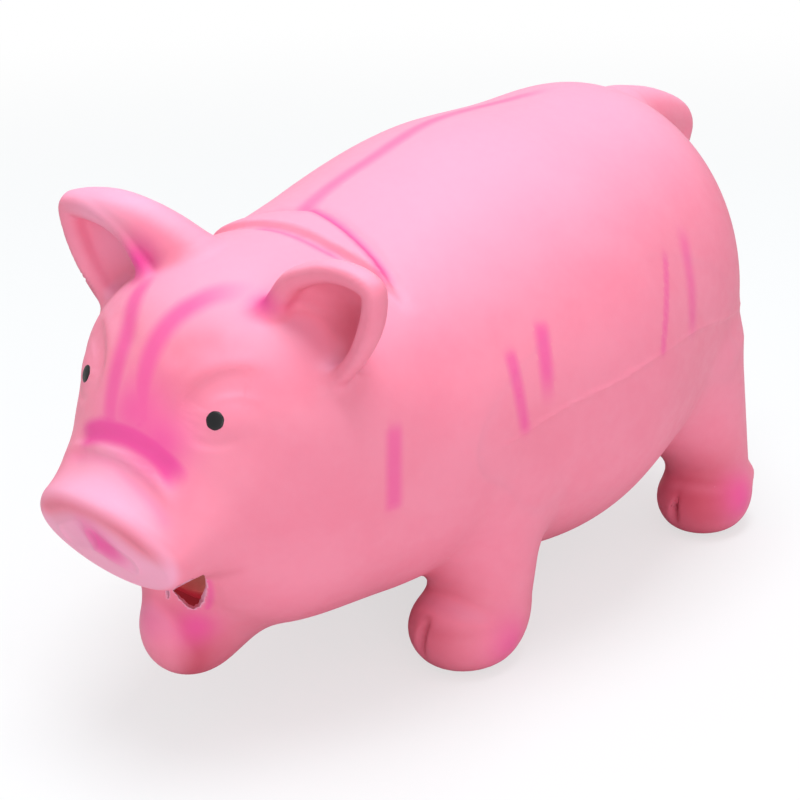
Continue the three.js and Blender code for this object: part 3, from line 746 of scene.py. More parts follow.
skin = newPiece("skin", roughForms())
remesh(skin, detail["roughSize"])
drape(skin, formGap, 3, detail["reach"])
remesh(skin, detail["roughSize"])
for _ in range(detail["rounds"]):
    drape(skin, formGap, 3, detail["reach"])
    relax(skin, 1)
drape(skin, formGap, 3)
print("rough skin:", len(skin.data.vertices), "points")
remesh(skin, detail["skinSize"])
drape(skin, skinGap, 3)
relax(skin, 2)
drape(skin, skinGap, 3)
refine(skin, wantsDetail)
relax(skin, 1, 0.3)
drape(skin, skinGap, 3, 0.6)
print("skin draped:", len(skin.data.vertices), "points")


# The inner wall and the mouth cut

mouthForm = {
    "middle": (12.0, -89.0, 38.0),
    "out": (0.6678, -0.5723, 0.476),        # the knife's way out of the left corner
    "side": (0.6507, 0.7593, 0.0),
    "outline": [        # side and up, round the hole; how much of the rim's thickness shows
        (-5.9, 0.0, 0.2), (-5.0, 0.6, 0.2), (-2.2, 1.9, 0.25), (-0.4, 2.5, 0.25), (1.0, 2.8, 0.2),
        (1.35, 1.5, 0.3), (1.5, 0.0, 0.6), (1.3, -1.2, 0.9), (0.8, -2.3, 1.0), (0.1, -3.5, 0.9),
        (-1.2, -4.3, 0.8), (-2.5, -4.2, 0.8), (-3.7, -3.2, 0.7), (-4.6, -2.0, 0.6), (-5.3, -0.9, 0.4)],
    "fray": 0.12,
    "search": (20, -12, -0.4),  # from outside the skin to inside it, in steps, to find its surface
    "reach": (22, 12.5),        # how far the cutter stands out of the skin and into the mouth
    "lip": (0.3, 2.4),          # it narrows from just outside the skin to just inside the wall
    "slit": ((0, -90.5, 37.7), (12.5, 7.0, 0.5)),       # middle, half sizes
    "notch": ((3.7, -91.6, 34.9), (0.4, 3.0, 1.5)),
}


def joinInto(piece, other):
    reshape(piece.data, lambda bm: bm.from_mesh(other.data))
    bpy.data.objects.remove(other, do_unlink=True)


def cutWith(piece, cutter, kind):
    change = piece.modifiers.new("cut", "BOOLEAN")
    change.solver = "MANIFOLD"
    change.operation = kind
    change.object = cutter
    bakeModifiers(piece)


def holeCutter(hand):       # a knife cut along its way out, closing a little towards the inside
    f = mouthForm
    out, side = np.array(f["out"]), np.array(f["side"])
    up = np.cross(out, side)
    up *= math.copysign(1, up[2])
    loop = smoothRoute(f["outline"] + f["outline"][:1], 5)[:-1]
    count = len(loop)
    turn = np.arange(count)
    wave = np.sin(turn * 0.74) * np.sin(turn * 0.31 + 1) + 0.5 * np.sin(turn * 1.3)
    fray = f["fray"] * wave * fade(loop[:, 2], 0.25, 0.7)
    middle = loop[:, :2].mean(0)
    inward = middle - loop[:, :2]
    inward /= np.linalg.norm(inward, axis=1)[:, None]
    flat = loop[:, :2] + inward * fray[:, None]

    def placed(flat):
        return np.array(f["middle"]) + np.outer(flat[:, 0], side) + np.outer(flat[:, 1], up)

    start, inner = placed(flat), placed(flat + inward * loop[:, 2:3])
    depth = np.zeros(count)
    steps = np.arange(*f["search"])
    gaps = np.array([formGap(start + out * step) for step in steps])
    for k in range(count):
        entries = np.flatnonzero((gaps[:-1, k] > 0) & (gaps[1:, k] <= 0))
        depth[k] = steps[entries[-1]] if len(entries) else depth[k - 1]
    outside, within = f["lip"]
    rings = [start + out * f["reach"][0], start + np.outer(depth + outside, out),
             inner + np.outer(depth - within, out), inner - out * f["reach"][1]]
    bm = bmesh.new()
    order = bm.verts.layers.int.new("order")
    for k, v in enumerate(bmesh.ops.create_circle(bm, segments=count, radius=1.0)["verts"]):
        v[order] = k
        v.co = rings[0][k]
    rim = bm.edges[:]
    for ring in rings[1:]:
        made = bmesh.ops.extrude_edge_only(bm, edges=rim)["geom"]
        moved = {v for v in made if isinstance(v, bmesh.types.BMVert)}
        for v in moved:
            v.co = ring[v[order]]
        rim = [e for e in made if isinstance(e, bmesh.types.BMEdge) and set(e.verts) <= moved]
    bmesh.ops.holes_fill(bm, edges=[e for e in bm.edges if e.is_boundary], sides=0)
    bmesh.ops.triangulate(bm, faces=bm.faces)
    if hand < 0:
        bmesh.ops.scale(bm, vec=(-1, 1, 1), verts=bm.verts)
    bmesh.ops.recalc_face_normals(bm, faces=bm.faces)
    return newPiece("hole cutter", bm)


def eggCutter(middle, halves):
    bm = bmesh.new()
    addEgg(bm, middle, halves)
    return newPiece("egg cutter", bm)


wall = newPiece("inner wall", roughForms(detail["wall"], ears=False))
remesh(wall, detail["wallSize"])
drape(wall, torsoGap, 6, 1.0, -detail["wall"])
wall.data.flip_normals()
joinInto(skin, wall)
holes = [holeCutter(hand) for hand in (1, -1)]
for cutter in holes + [eggCutter(*mouthForm[name]) for name in ("slit", "notch")]:
    cutWith(skin, cutter, "DIFFERENCE")
    bpy.data.objects.remove(cutter, do_unlink=True)
print("mouth cut:", len(skin.data.polygons), "faces")


# Parting the skin where it bends

bendForms = {
    "earRoot": 4.4,         # mm out from the ear's hinge, just above the skull
    "earFree": 13.0,
    "tailPivot": (0, 80.17, 101.44),
    "tailLine": (0, 0.97, 0.24),
    "tailRoot": 7.8,
    "tailFree": 19.0,
    "flankPlane": 47.0,
    "flankKeep": 0.14,      # what a full squeeze leaves of the flank's bulge past that plane
    "flankBox": (-40, 74, 30, 100),     # y and z from and to
    "flankOut": 62,
    "flankMiddle": (17, 62),
    "earBox": (20, 36, 13),     # half the width along the root, the far end out, half the thickness
    "tailBox": (20, 40, 30),
}


def boxCutter(name, axes, middle, low, high):
    bm = bmesh.new()
    made = bmesh.ops.create_cube(bm, size=1.0)["verts"]
    size = Vector(high) - Vector(low)
    bmesh.ops.scale(bm, vec=size, verts=made)
    bmesh.ops.translate(bm, vec=(Vector(high) + Vector(low)) / 2, verts=made)
    bmesh.ops.rotate(bm, matrix=Matrix(axes).transposed(), verts=made)
    bmesh.ops.translate(bm, vec=middle, verts=made)
    if Matrix(axes).determinant() < 0:
        bmesh.ops.reverse_faces(bm, faces=bm.faces)
    return newPiece(name, bm)


def mirrored(vec, hand):
    return (vec[0] * hand, vec[1], vec[2])


def partOff(name, cutter):
    piece = skin.copy()
    piece.data = skin.data.copy()
    piece.name = name
    scene.collection.objects.link(piece)
    cutWith(piece, cutter, "INTERSECT")
    cutWith(skin, cutter, "DIFFERENCE")
    bpy.data.objects.remove(cutter, do_unlink=True)
    return piece


worldAxes = ((1, 0, 0), (0, 1, 0), (0, 0, 1))
ears = {}
flanks = {}
width, far, thick = bendForms["earBox"]
front, back, bottom, top = bendForms["flankBox"]
for side, hand in hands:
    axes = [mirrored(earForm[k], hand) for k in ("along", "out", "back")]
    box = boxCutter("ear box", axes, mirrored(earForm["root"], hand),
                    (-width, bendForms["earRoot"], -thick), (width, far, thick))
    ears[side] = partOff(side + "_ear_skin", box)
    inner, outer = sorted((hand * bendForms["flankPlane"], hand * bendForms["flankOut"]))
    box = boxCutter("flank box", worldAxes, (0, 0, 0), (inner, front, bottom), (outer, back, top))
    flanks[side] = partOff(side + "_flank_skin", box)
tailUp = (0, -bendForms["tailLine"][2], bendForms["tailLine"][1])
width, far, thick = bendForms["tailBox"]
box = boxCutter("tail box", ((1, 0, 0), bendForms["tailLine"], tailUp), bendForms["tailPivot"],
                (-width, bendForms["tailRoot"], -thick), (width, far, thick))
tail = partOff("tail_skin", box)
skin.name = "latex_skin"
print("skin parted into", 2 + len(ears) + len(flanks), "pieces")


# The airbrushed paint, and painted light and shade

paintStrokes = [    # half width, softness and strength, both sides, fades at its ends, route
    ((2.5, 1.9, 0.74), False, (18, 2), [      # forehead, left stripe
     (16.8, -71.4, 98.7), (12.5, -71.7, 98.9), (9.5, -73.4, 98.9), (6.7, -75.7, 98.3), (4.6, -78.7, 97.0),
     (2.8, -81.2, 95.3), (1.6, -83.8, 93.2), (0.9, -86.1, 90.7), (0.7, -88.0, 88.2), (1.2, -90.4, 84.7),
     (2.2, -92.4, 81.4), (4.1, -94.3, 77.9), (6.1, -95.9, 74.4)]),
    ((2.4, 1.9, 0.74), False, (10, 2), [      # forehead, right stripe
     (-17.6, -70.0, 98.6), (-15.6, -74.5, 97.0), (-13.6, -79.0, 94.6), (-11.2, -83.1, 92.3),
     (-9.0, -86.6, 88.8), (-8.1, -89.2, 85.3), (-7.0, -91.9, 81.3), (-5.4, -94.5, 77.2),
     (-3.4, -96.9, 73.0)]),
    ((1.9, 1.8, 0.55), False, (1, 14), [      # spine
     (-3.0, -40.0, 105.3), (-5.0, -35.8, 106.1), (-7.2, -26.0, 108.2), (-7.4, -19.6, 109.8),
     (-7.0, -13.2, 111.7), (-7.4, -3.5, 113.8), (-8.4, 7.6, 115.6), (-8.0, 16.7, 116.4),
     (-7.6, 29.5, 116.6), (-5.5, 42.2, 116.9), (-1.0, 53.2, 117.8)]),
    ((0.8, 1.2, 0.6), False, (4, 5), [      # front neck fold
     (-10.1, -48.9, 103.2), (-4.8, -48.8, 104.0), (1.3, -48.9, 104.2), (6.1, -49.1, 103.8),
     (10.9, -49.2, 103.0), (14.1, -48.8, 102.2), (18, -48.0, 101.0)]),
    ((1.5, 1.1, 0.88), False, (4, 7), [      # back neck fold
     (-6.1, -37.4, 105.7), (-0.4, -38.1, 105.8), (5.2, -39.2, 105.3), (9.9, -40.2, 104.4),
     (15.1, -41.5, 102.8), (20.1, -42.6, 100.8), (24.4, -43.7, 98.4), (28.0, -44.9, 95.9)]),
    ((1.7, 1.2, 0.62), True, (4, 2), [      # cheek
     (41.4, -59.9, 75.1), (41.9, -60.5, 70.4), (41.9, -60.8, 64.9), (41.6, -60.6, 59.1),
     (41.0, -60.3, 54.0)]),
    ((1.2, 1.3, 0.75), True, (3, 3), [      # flank, from the front to the back
     (44.7, -27.0, 81.8), (46.6, -27.3, 77.3), (48.0, -27.4, 72.4), (48.9, -27.1, 67.5),
     (49.3, -26.1, 61.6)]),
    ((1.6, 1.3, 0.72), True, (3, 9), [
     (45.1, -16.5, 85.4), (46.9, -17.7, 81.2), (48.5, -18.6, 76.7), (49.6, -19.3, 71.4),
     (50.2, -19.9, 66.2)]),
    ((0.9, 1.2, 0.7), True, (4, 4), [
     (46.1, 30.0, 90.2), (49.5, 26.0, 84.6), (52.4, 22.2, 78.5), (54.0, 19.3, 72.8), (54.8, 17.6, 67.6)]),
    ((1.7, 2.0, 0.55), True, (6, 8), [
     (42.7, 41.7, 92.9), (46.7, 38.7, 86.5), (49.9, 36.5, 79.2), (51.8, 34.4, 73.0), (53.0, 32.7, 66.7)]),
    ((2.6, 1.3, 0.95), False, (6, 6), [      # root of the snout
     (-14.3, -96.4, 67.4), (-11.6, -96.8, 69.4), (-6.9, -97.0, 71.6), (-2.5, -97.0, 72.6),
     (1.6, -97.0, 73.0), (5.1, -96.9, 72.6), (10.1, -96.4, 71.2), (14.6, -96.0, 68.0),
     (17.2, -95.6, 64.4)]),
    ((0.8, 1.6, 0.25), False, (4, 5), [      # ring in front of it
     (-18.0, -97.1, 62.0), (-11.2, -99.0, 65.1), (-6.9, -99.4, 66.4), (-2.3, -99.7, 67.0),
     (1.6, -99.9, 66.8), (8.5, -100.5, 64.4), (13.1, -100.7, 62.2), (16.1, -100.9, 60.1),
     (18.4, -101.6, 58.0)]),
    ((0.6, 0.9, 0.7), True, (2, 1), [      # corner of the mouth
     (16.4, -91.0, 42.6), (15.6, -89.6, 40.4), (14.4, -88.4, 37.2), (12.4, -87.2, 33.8),
     (10.8, -86.9, 31.0)]),
]
paintMists = [      # middle, radius, strength, both sides
    ((1.5, -94.0, 77.5), 8.0, 0.75, False),
    ((10.5, -95.0, 72.5), 6.5, 0.8, False),
    ((0, -92.6, 27.5), 5.0, 0.35, False),
    ((8.5, -88.0, 27.0), 4.6, 0.75, True),
    ((18.3, -72.2, 99.2), 3.8, 0.95, False),
    ((-19.5, -73.0, 99.5), 5.0, 1.0, False),
    ((44.3, -25.0, 7.8), 6.0, 0.6, True),
    ((48.0, 69.5, 11.2), 6.5, 0.75, True),
]
nostrilPaint = {"middle": 0.12, "halves": (6.4, 4.0), "strength": (0.9, 0.12)}
paintedShadingSpots = [      # middle, radius, amount (painted light in pale lilac above zero, painted shade in deep rose below), both sides
    ((0, -100, 66), 11.0, 0.55, False),
    ((0, -96, 38), 5.5, 0.3, False),
    ((3, -92, 19), 12.0, -1.0, False),
    ((-33, -68, 111), 10.0, 0.8, False),
    ((-34, -66, 99), 8.0, 0.6, False),
    ((34, -65, 96), 5.5, -0.45, False),
    ((9, -90, 84), 8.0, -0.25, False),
    ((31, -36, 11), 11.0, -0.5, True),
    ((41, 61, 11), 12.0, -0.8, True),
]
paintedShadingLimits = {      # from, to, amount: how far it looks up (painted light) or down (painted shade), and the depth of the disc's face (painted light)
    "up": (0.45, 1.0, 0.75),
    "down": (0.3, 1.0, 0.22),
    "face": (-4.5, -1.5, 0.85),
    "discShadeBand": (0.8, 0.17, 1.1),   # painted shade in a band under the top of the disc's rim: place, width, amount
}


def settle(points, gapOf, steps=4):
    p = np.array(points, float)
    for _ in range(steps):
        slope = slopeOf(gapOf, p)
        p = p - slope * (gapOf(p) / np.maximum((slope ** 2).sum(1), 0.04))[:, None]
    return p


def paintField(p):
    edge = np.full(len(p), 4.0)
    strength = np.zeros(len(p))
    mist = np.zeros(len(p))
    for (half, soft, high), both, (startFade, endFade), route in paintStrokes:
        route = settle(smoothRoute(route), skinGap)
        length = np.linalg.norm(np.diff(route, axis=0), axis=1).sum()
        q = folded(p, both)
        near = ((q > route.min(0) - 8) & (q < route.max(0) + 8)).all(1)
        if not near.any():
            continue
        gap, along = routeGap(q[near], route)
        e = (gap - half) / soft
        s = high * fade(along * length, -0.5, startFade)
        s = s * fade((1 - along) * length, -0.5, endFade)
        share = s * (1 - fade(e, -1, 1.2))
        better = share > strength[near] * (1 - fade(edge[near], -1, 1.2))
        index = np.flatnonzero(near)[better]
        edge[index] = e[better]
        strength[index] = s[better]
    for middle, radius, high, both in paintMists:
        cloud = high * bump(farFrom(folded(p, both), middle), radius)
        mist = 1 - (1 - mist) * (1 - cloud)
    across, rise, out = snoutPlace(p)
    for hand, high in zip((1, -1), nostrilPaint["strength"]):
        a, line = nostrilLine(hand)
        flat = np.column_stack([across, rise]) - a - nostrilPaint["middle"] * line
        line = line / np.linalg.norm(line)
        x = flat @ line / nostrilPaint["halves"][0]
        y = flat @ np.array([-line[1], line[0]]) / nostrilPaint["halves"][1]
        spot = high * np.exp(-(x * x + y * y) ** 1.6)
        mist = np.maximum(mist, spot * fade(out, *nostrilForm["face"]))
    return edge, strength, mist


def paintedShadingField(p, normals):      # painted light where it looks up and on the snout's face, painted shade below
    low, high, amount = paintedShadingLimits["up"]
    paintedShading = amount * fade(normals[:, 2], low, high)
    low, high, amount = paintedShadingLimits["down"]
    paintedShading -= amount * fade(-normals[:, 2], low, high)
    low, high, amount = paintedShadingLimits["face"]
    place, width, depth = paintedShadingLimits["discShadeBand"]
    across, rise, out = snoutPlace(p)
    k = np.hypot(across / snoutForm["halfWidth"], rise / snoutForm["halfHeight"])
    paintedShadeBand = depth * (bump(k - place, width) * fade(rise, 0, 6))
    paintedShading += (amount - paintedShadeBand) * fade(out, low, high) * fade(-normals[:, 1], 0.3, 0.8)
    for middle, radius, amount, both in paintedShadingSpots:
        paintedShading += amount * bump(farFrom(folded(p, both), middle), radius)
    return np.clip(paintedShading, -1, 1)


def storeValues(mesh, name, values):
    kind = "FLOAT_VECTOR" if values.ndim == 2 else "FLOAT"
    layer = mesh.attributes.new(name, kind, "POINT")
    layer.data.foreach_set("vector" if values.ndim == 2 else "value", values.astype(np.float32).ravel())


trueSize = (0.998, 0.997, 0.9945)       # trims what the soft joins and the marks add past the toy's size
wallLimits = {      # how a point is known as one of the outer skin, the inner wall or the mouth's cut edge
    "outer": 0.35,
    "inner": 0.25,
    "turn": 0.35,
    "mouth": ((8, -91, 37), 14),
}


def toMetres(mesh):
    mesh.transform(Matrix.Diagonal([share * mm for share in trueSize] + [1]))


def finishSkin(piece):
    mesh = piece.data
    reshape(mesh, lambda bm: bmesh.ops.triangulate(bm, faces=[f for f in bm.faces if len(f.verts) > 4]))
    p = places(mesh)
    outer = np.abs(skinGap(p)) < wallLimits["outer"]
    inner = np.abs(torsoGap(p) + detail["wall"]) < wallLimits["inner"]
    normals = skinNormals(p)
    count = len(mesh.polygons)
    loops = column(mesh.loops, "vertex_index")
    faceNormals = column(mesh.polygons, "normal", float, 3)
    owner = np.repeat(np.arange(count), column(mesh.polygons, "loop_total"))
    agrees = (faceNormals[owner] * normals[loops]).sum(1) > wallLimits["turn"]
    isOuter = np.ones(count, bool)
    np.logical_and.at(isOuter, owner, outer[loops] & agrees)
    isInner = np.ones(count, bool)
    np.logical_and.at(isInner, owner, inner[loops] & ~outer[loops])
    kind = np.where(isOuter, 0, np.where(isInner, 1, 2))[owner]
    cut = np.zeros(len(p))
    np.maximum.at(cut, loops[kind == 2], 1.0)
    middle, reach = wallLimits["mouth"]
    cut *= farFrom(folded(p), middle) < reach
    edge, strength, mist = paintField(p)
    values = {
        "restPlace": p, "strokeEdge": edge, "strokeStrength": strength, "mist": mist,
        # paintedShading: painted light above zero, painted shade below zero
        "paintedShading": paintedShadingField(p, normals), "inside": (inner & ~outer).astype(float), "cutEdge": cut,
    }
    for name, value in values.items():
        storeValues(mesh, name, value)
    mesh.polygons.foreach_set("use_smooth", np.ones(count, bool))
    loopEdges = column(mesh.loops, "edge_index")
    lowKind = np.full(len(mesh.edges), 9)
    highKind = np.full(len(mesh.edges), -1)
    np.minimum.at(lowKind, loopEdges, kind)
    np.maximum.at(highKind, loopEdges, kind)
    mesh.edges.foreach_set("use_edge_sharp", lowKind != highKind)
    custom = np.where((kind == 0)[:, None], normals[loops], 0.0)
    mesh.normals_split_custom_set([tuple(n) for n in custom])
    toMetres(mesh)
    mesh.update()


allSkins = [skin, tail] + list(ears.values()) + list(flanks.values())
for piece in allSkins:
    finishSkin(piece)
    print(piece.name, len(piece.data.polygons), "faces")


# The painted eyes

dotForm = {
    "middle": (19.9, -88.75, 78.4),
    "radius": 1.95,
    "lift": (0.03, 0.14),       # the paint's thickness at its edge, and what its middle adds
    "under": 0.35,
    "corners": 24,
    "uneven": 0.018,
}


def eyeDot(side, hand):
    middle = settle([mirrored(dotForm["middle"], hand)], skinGap)[0]
    normal = skinNormals(middle[None])[0]
    across = np.cross(normal, (0, 0, 1))
    across /= np.linalg.norm(across)
    up = np.cross(across, normal)
    bm = bmesh.new()
    bmesh.ops.create_circle(bm, cap_ends=True, cap_tris=True, segments=dotForm["corners"],
                            radius=dotForm["radius"])
    for v in bm.verts:
        v.co *= 1 + dotForm["uneven"] * math.sin(7 * math.atan2(v.co.y, v.co.x) + 0.6)
    bmesh.ops.subdivide_edges(bm, edges=bm.edges, cuts=4, use_grid_fill=True)
    for v in bm.verts:
        v.co = Vector(middle + across * v.co.x + up * v.co.y)
    bm.normal_update()
    bm.faces.ensure_lookup_table()
    if bm.faces[0].normal.dot(Vector(normal)) < 0:
        bmesh.ops.reverse_faces(bm, faces=bm.faces)
    piece = newPiece(side + "_eye_paint", bm)
    p = settle(places(piece.data), skinGap)
    n = skinNormals(p)
    flat = (p - middle) @ np.array([across, up]).T
    dome = np.clip(1 - (np.linalg.norm(flat, axis=1) / dotForm["radius"]) ** 4, 0, 1)
    thin, more = dotForm["lift"]
    top = p + n * (thin + more * dome)[:, None]
    piece.data.vertices.foreach_set("co", top.ravel())

    def addSkirt(bm):
        rim = [e for e in bm.edges if e.is_boundary]
        skirt = bmesh.ops.extrude_edge_only(bm, edges=rim)["geom"]
        edge = [v for v in skirt if isinstance(v, bmesh.types.BMVert)]
        bmesh.ops.translate(bm, vec=Vector(-normal * dotForm["under"]), verts=edge)
        bmesh.ops.holes_fill(bm, edges=[e for e in bm.edges if e.is_boundary], sides=0)
        bmesh.ops.triangulate(bm, faces=[f for f in bm.faces if len(f.verts) > 4])
        bmesh.ops.recalc_face_normals(bm, faces=bm.faces)

    reshape(piece.data, addSkirt)
    piece.data.polygons.foreach_set("use_smooth", np.ones(len(piece.data.polygons), bool))
    storeValues(piece.data, "restPlace", places(piece.data))
    toMetres(piece.data)
    piece.data.update()
    return piece


eyes = {side: eyeDot(side, hand) for side, hand in hands}
print("eyes painted")


# Materials

def colour(*tones):     # from the three values of a picture to a shader's
    return tuple(((tone / 255 + 0.055) / 1.055) ** 2.4 for tone in tones) + (1.0,)


def clearTree(owner, kind):
    owner.use_nodes = True
    tree = owner.node_tree
    tree.nodes.clear()
    return tree, tree.nodes.new(kind)


def fillSockets(tree, node, values):
    for key, value in values.items():
        if isinstance(value, bpy.types.NodeSocket):
            tree.links.new(value, node.inputs[key])
        else:
            node.inputs[key].default_value = value


def addNode(tree, kind, values=(), **settings):
    node = tree.nodes.new(kind)
    for key, value in settings.items():
        setattr(node, key, value)
    fillSockets(tree, node, dict(values))
    return node


def newMaterial(name):
    material = bpy.data.materials.new(name)
    tree, out = clearTree(material, "ShaderNodeOutputMaterial")
    shader = addNode(tree, "ShaderNodeBsdfPrincipled")
    fillSockets(tree, out, {"Surface": shader.outputs["BSDF"]})
    return material, tree, shader


def mixColours(tree, share, a, b):
    return addNode(tree, "ShaderNodeMix", {0: share, 6: a, 7: b}, data_type="RGBA").outputs[2]


def mathNode(tree, operation, a, b):
    return addNode(tree, "ShaderNodeMath", {0: a, 1: b}, operation=operation).outputs[0]


def times(tree, a, b):
    return mathNode(tree, "MULTIPLY", a, b)


def rampNode(tree, value, low, high, out=(0.0, 1.0)):
    limits = {"Value": value, "From Min": low, "From Max": high, "To Min": out[0], "To Max": out[1]}
    return addNode(tree, "ShaderNodeMapRange", limits, interpolation_type="SMOOTHSTEP").outputs["Result"]


def readValue(tree, name, part="Fac"):
    return addNode(tree, "ShaderNodeAttribute", attribute_name=name).outputs[part]


grainForm = {
    "noises": {     # scale over millimetres, detail, roughness
        "broad": (0.06, 3.0, 0.5),
        "fine": (1.6, 4.0, 0.6),
        "grain": (0.35, 5.0, 0.62),
    },
    "spots": (0.11, 0.55, 0.045),   # scale, the share left smooth, radius
    "spotEdge": 0.02,
    "toneShare": 0.18,              # what the fine grain adds to the tone
    "rough": (0.47, 0.57),
    "heights": {"fine": 0.05, "grain": 0.25, "pimple": 0.5},
}


def buildLatexGrain():
    group = bpy.data.node_groups.new("latexGrain", "ShaderNodeTree")
    face = group.interface
    face.new_socket("Place", in_out="INPUT", socket_type="NodeSocketVector")
    for name in ("Pimples", "Patchy"):
        face.new_socket(name, in_out="INPUT", socket_type="NodeSocketFloat").default_value = 0.5
    for name in ("Tone", "Pale", "Rough", "Relief"):
        face.new_socket(name, in_out="OUTPUT", socket_type="NodeSocketFloat")
    start = group.nodes.new("NodeGroupInput")
    end = group.nodes.new("NodeGroupOutput")
    place = start.outputs["Place"]
    noise = {}
    for name, (scale, octaves, rough) in grainForm["noises"].items():
        values = {"Vector": place, "Scale": scale, "Detail": octaves, "Roughness": rough}
        noise[name] = addNode(group, "ShaderNodeTexNoise", values).outputs["Fac"]
    scale, smoothShare, widest = grainForm["spots"]
    spots = addNode(group, "ShaderNodeTexVoronoi", {"Vector": place, "Scale": scale, "Randomness": 1.0})
    size = addNode(group, "ShaderNodeSeparateColor", {"Color": spots.outputs["Color"]}).outputs["Red"]
    radius = times(group, rampNode(group, size, smoothShare, 1.0), widest)
    spot = mathNode(group, "SUBTRACT", radius, spots.outputs["Distance"])
    pimple = times(group, rampNode(group, spot, 0.0, grainForm["spotEdge"]), start.outputs["Pimples"])
    tone = times(group, mathNode(group, "SUBTRACT", noise["broad"], 0.5), start.outputs["Patchy"])
    small = times(group, mathNode(group, "SUBTRACT", noise["grain"], 0.5), grainForm["toneShare"])
    high = grainForm["heights"]
    relief = mathNode(group, "ADD", times(group, noise["fine"], high["fine"]),
                      times(group, noise["grain"], high["grain"]))
    fillSockets(group, end, {
        "Tone": mathNode(group, "ADD", tone, small),
        "Pale": pimple,
        "Rough": rampNode(group, noise["grain"], 0.3, 0.7, grainForm["rough"]),
        "Relief": mathNode(group, "ADD", relief, times(group, pimple, high["pimple"])),
    })
    return group


latexGrain = buildLatexGrain()

latexColours = {
    "skin": colour(245, 144, 170),
    "deep": colour(238, 118, 146),
    # the lilac is painted light and the rose is painted shade
    "paintedLightLilac": colour(249, 174, 206),
    "paintedShadeRose": colour(194, 56, 80),
    "paint": colour(238, 80, 160),
    "pale": colour(246, 186, 205),
    "cut": colour(233, 170, 196),
    # the inner wall's red is painted light that comes through the painted skin
    "inside": colour(190, 70, 84),
    # the lining's red low down is painted light that comes through the pink skin; the tan higher up is its
    # own colour
    "throatPaintedGlowRed": colour(190, 44, 62),
    "throatHigh": colour(178, 132, 116),
    "throatShade": colour(120, 40, 48),
    "eye": colour(17, 18, 21),
    "eyeWorn": colour(28, 29, 33),
}
skinFinish = {
    "pimples": 0.8,
    "patchy": 0.5,
    "glow": 0.16,           # light that comes through the thin skin
    "shine": 0.2,
    "softness": (0.1, (1.0, 0.35, 0.45), 0.0012),   # how much light enters, how far each colour goes
    "relief": (0.00012, 0.6),       # metres, strength
}
# the lining's glow is painted light for what comes through the skin
throatFinish = {"pimples": 0.3, "patchy": 0.6, "glow": 0.4, "levels": (31.0, 38.0), "relief": (0.0002, 0.5)}
eyeFinish = {"patchy": 0.6, "rough": (0.38, 0.5), "relief": (0.0001, 0.5)}


def grainNode(tree, pimples, patchy, place=None):
    place = place or readValue(tree, "restPlace", "Vector")
    return addNode(tree, "ShaderNodeGroup", {"Pimples": pimples, "Patchy": patchy, "Place": place},
                   node_tree=latexGrain)


def reliefOf(tree, height, distance, strength):
    values = {"Height": height, "Distance": distance, "Strength": strength}
    return addNode(tree, "ShaderNodeBump", values).outputs["Normal"]


def skinLatex():
    material, tree, shader = newMaterial("painted latex")
    tones = latexColours
    grain = grainNode(tree, skinFinish["pimples"], skinFinish["patchy"])
    tone = grain.outputs["Tone"]
    edge = mathNode(tree, "ADD", readValue(tree, "strokeEdge"), times(tree, tone, 1.2))
    stroke = times(tree, rampNode(tree, edge, -1.0, 1.2, (1.0, 0.0)), readValue(tree, "strokeStrength"))
    paintedShading = readValue(tree, "paintedShading")
    inside = readValue(tree, "inside")
    layers = (
        (rampNode(tree, tone, -0.12, 0.12, (0.0, 0.3)), "deep"),
        # painted light in lilac and painted shade in rose, from the painted shading values
        (mathNode(tree, "MAXIMUM", paintedShading, 0.0), "paintedLightLilac"),
        (mathNode(tree, "MAXIMUM", times(tree, paintedShading, -1.0), 0.0), "paintedShadeRose"),
        (mathNode(tree, "MAXIMUM", stroke, readValue(tree, "mist")), "paint"),
        (times(tree, grain.outputs["Pale"], 0.45), "pale"),
        (inside, "inside"),
        (readValue(tree, "cutEdge"), "cut"),
    )
    base = tones["skin"]
    for share, name in layers:
        base = mixColours(tree, share, base, tones[name])
    weight, radius, scale = skinFinish["softness"]
    fillSockets(tree, shader, {
        "Base Color": base,
        "Roughness": grain.outputs["Rough"],
        "Normal": reliefOf(tree, grain.outputs["Relief"], *skinFinish["relief"]),
        # the inner wall glows in that red: painted light through the thin skin
        "Emission Color": mixColours(tree, inside, (0, 0, 0, 1), tones["inside"]),
        "Emission Strength": skinFinish["glow"],
        "Subsurface Weight": weight,
        "Subsurface Radius": radius,
        "Subsurface Scale": scale,
        "Specular IOR Level": skinFinish["shine"],
    })
    return material


def mouthLatex():
    material, tree, shader = newMaterial("throat latex")
    tones = latexColours
    place = addNode(tree, "ShaderNodeTexCoord").outputs["Object"]
    place = addNode(tree, "ShaderNodeVectorMath", {0: place, "Scale": 1 / mm}, operation="SCALE").outputs[0]
    grain = grainNode(tree, throatFinish["pimples"], throatFinish["patchy"], place)
    height = addNode(tree, "ShaderNodeSeparateXYZ", {"Vector": place}).outputs["Z"]
    share = rampNode(tree, height, *throatFinish["levels"])
    base = mixColours(tree, share, tones["throatPaintedGlowRed"], tones["throatHigh"])
    share = rampNode(tree, grain.outputs["Tone"], -0.15, 0.15, (0.0, 0.4))
    base = mixColours(tree, share, base, tones["throatShade"])
    fillSockets(tree, shader, {
        "Base Color": base,
        "Roughness": grain.outputs["Rough"],
        "Normal": reliefOf(tree, grain.outputs["Relief"], *throatFinish["relief"]),
        # the lining glows in its own colours: painted light
        "Emission Color": base,
        "Emission Strength": throatFinish["glow"],
    })
    return material


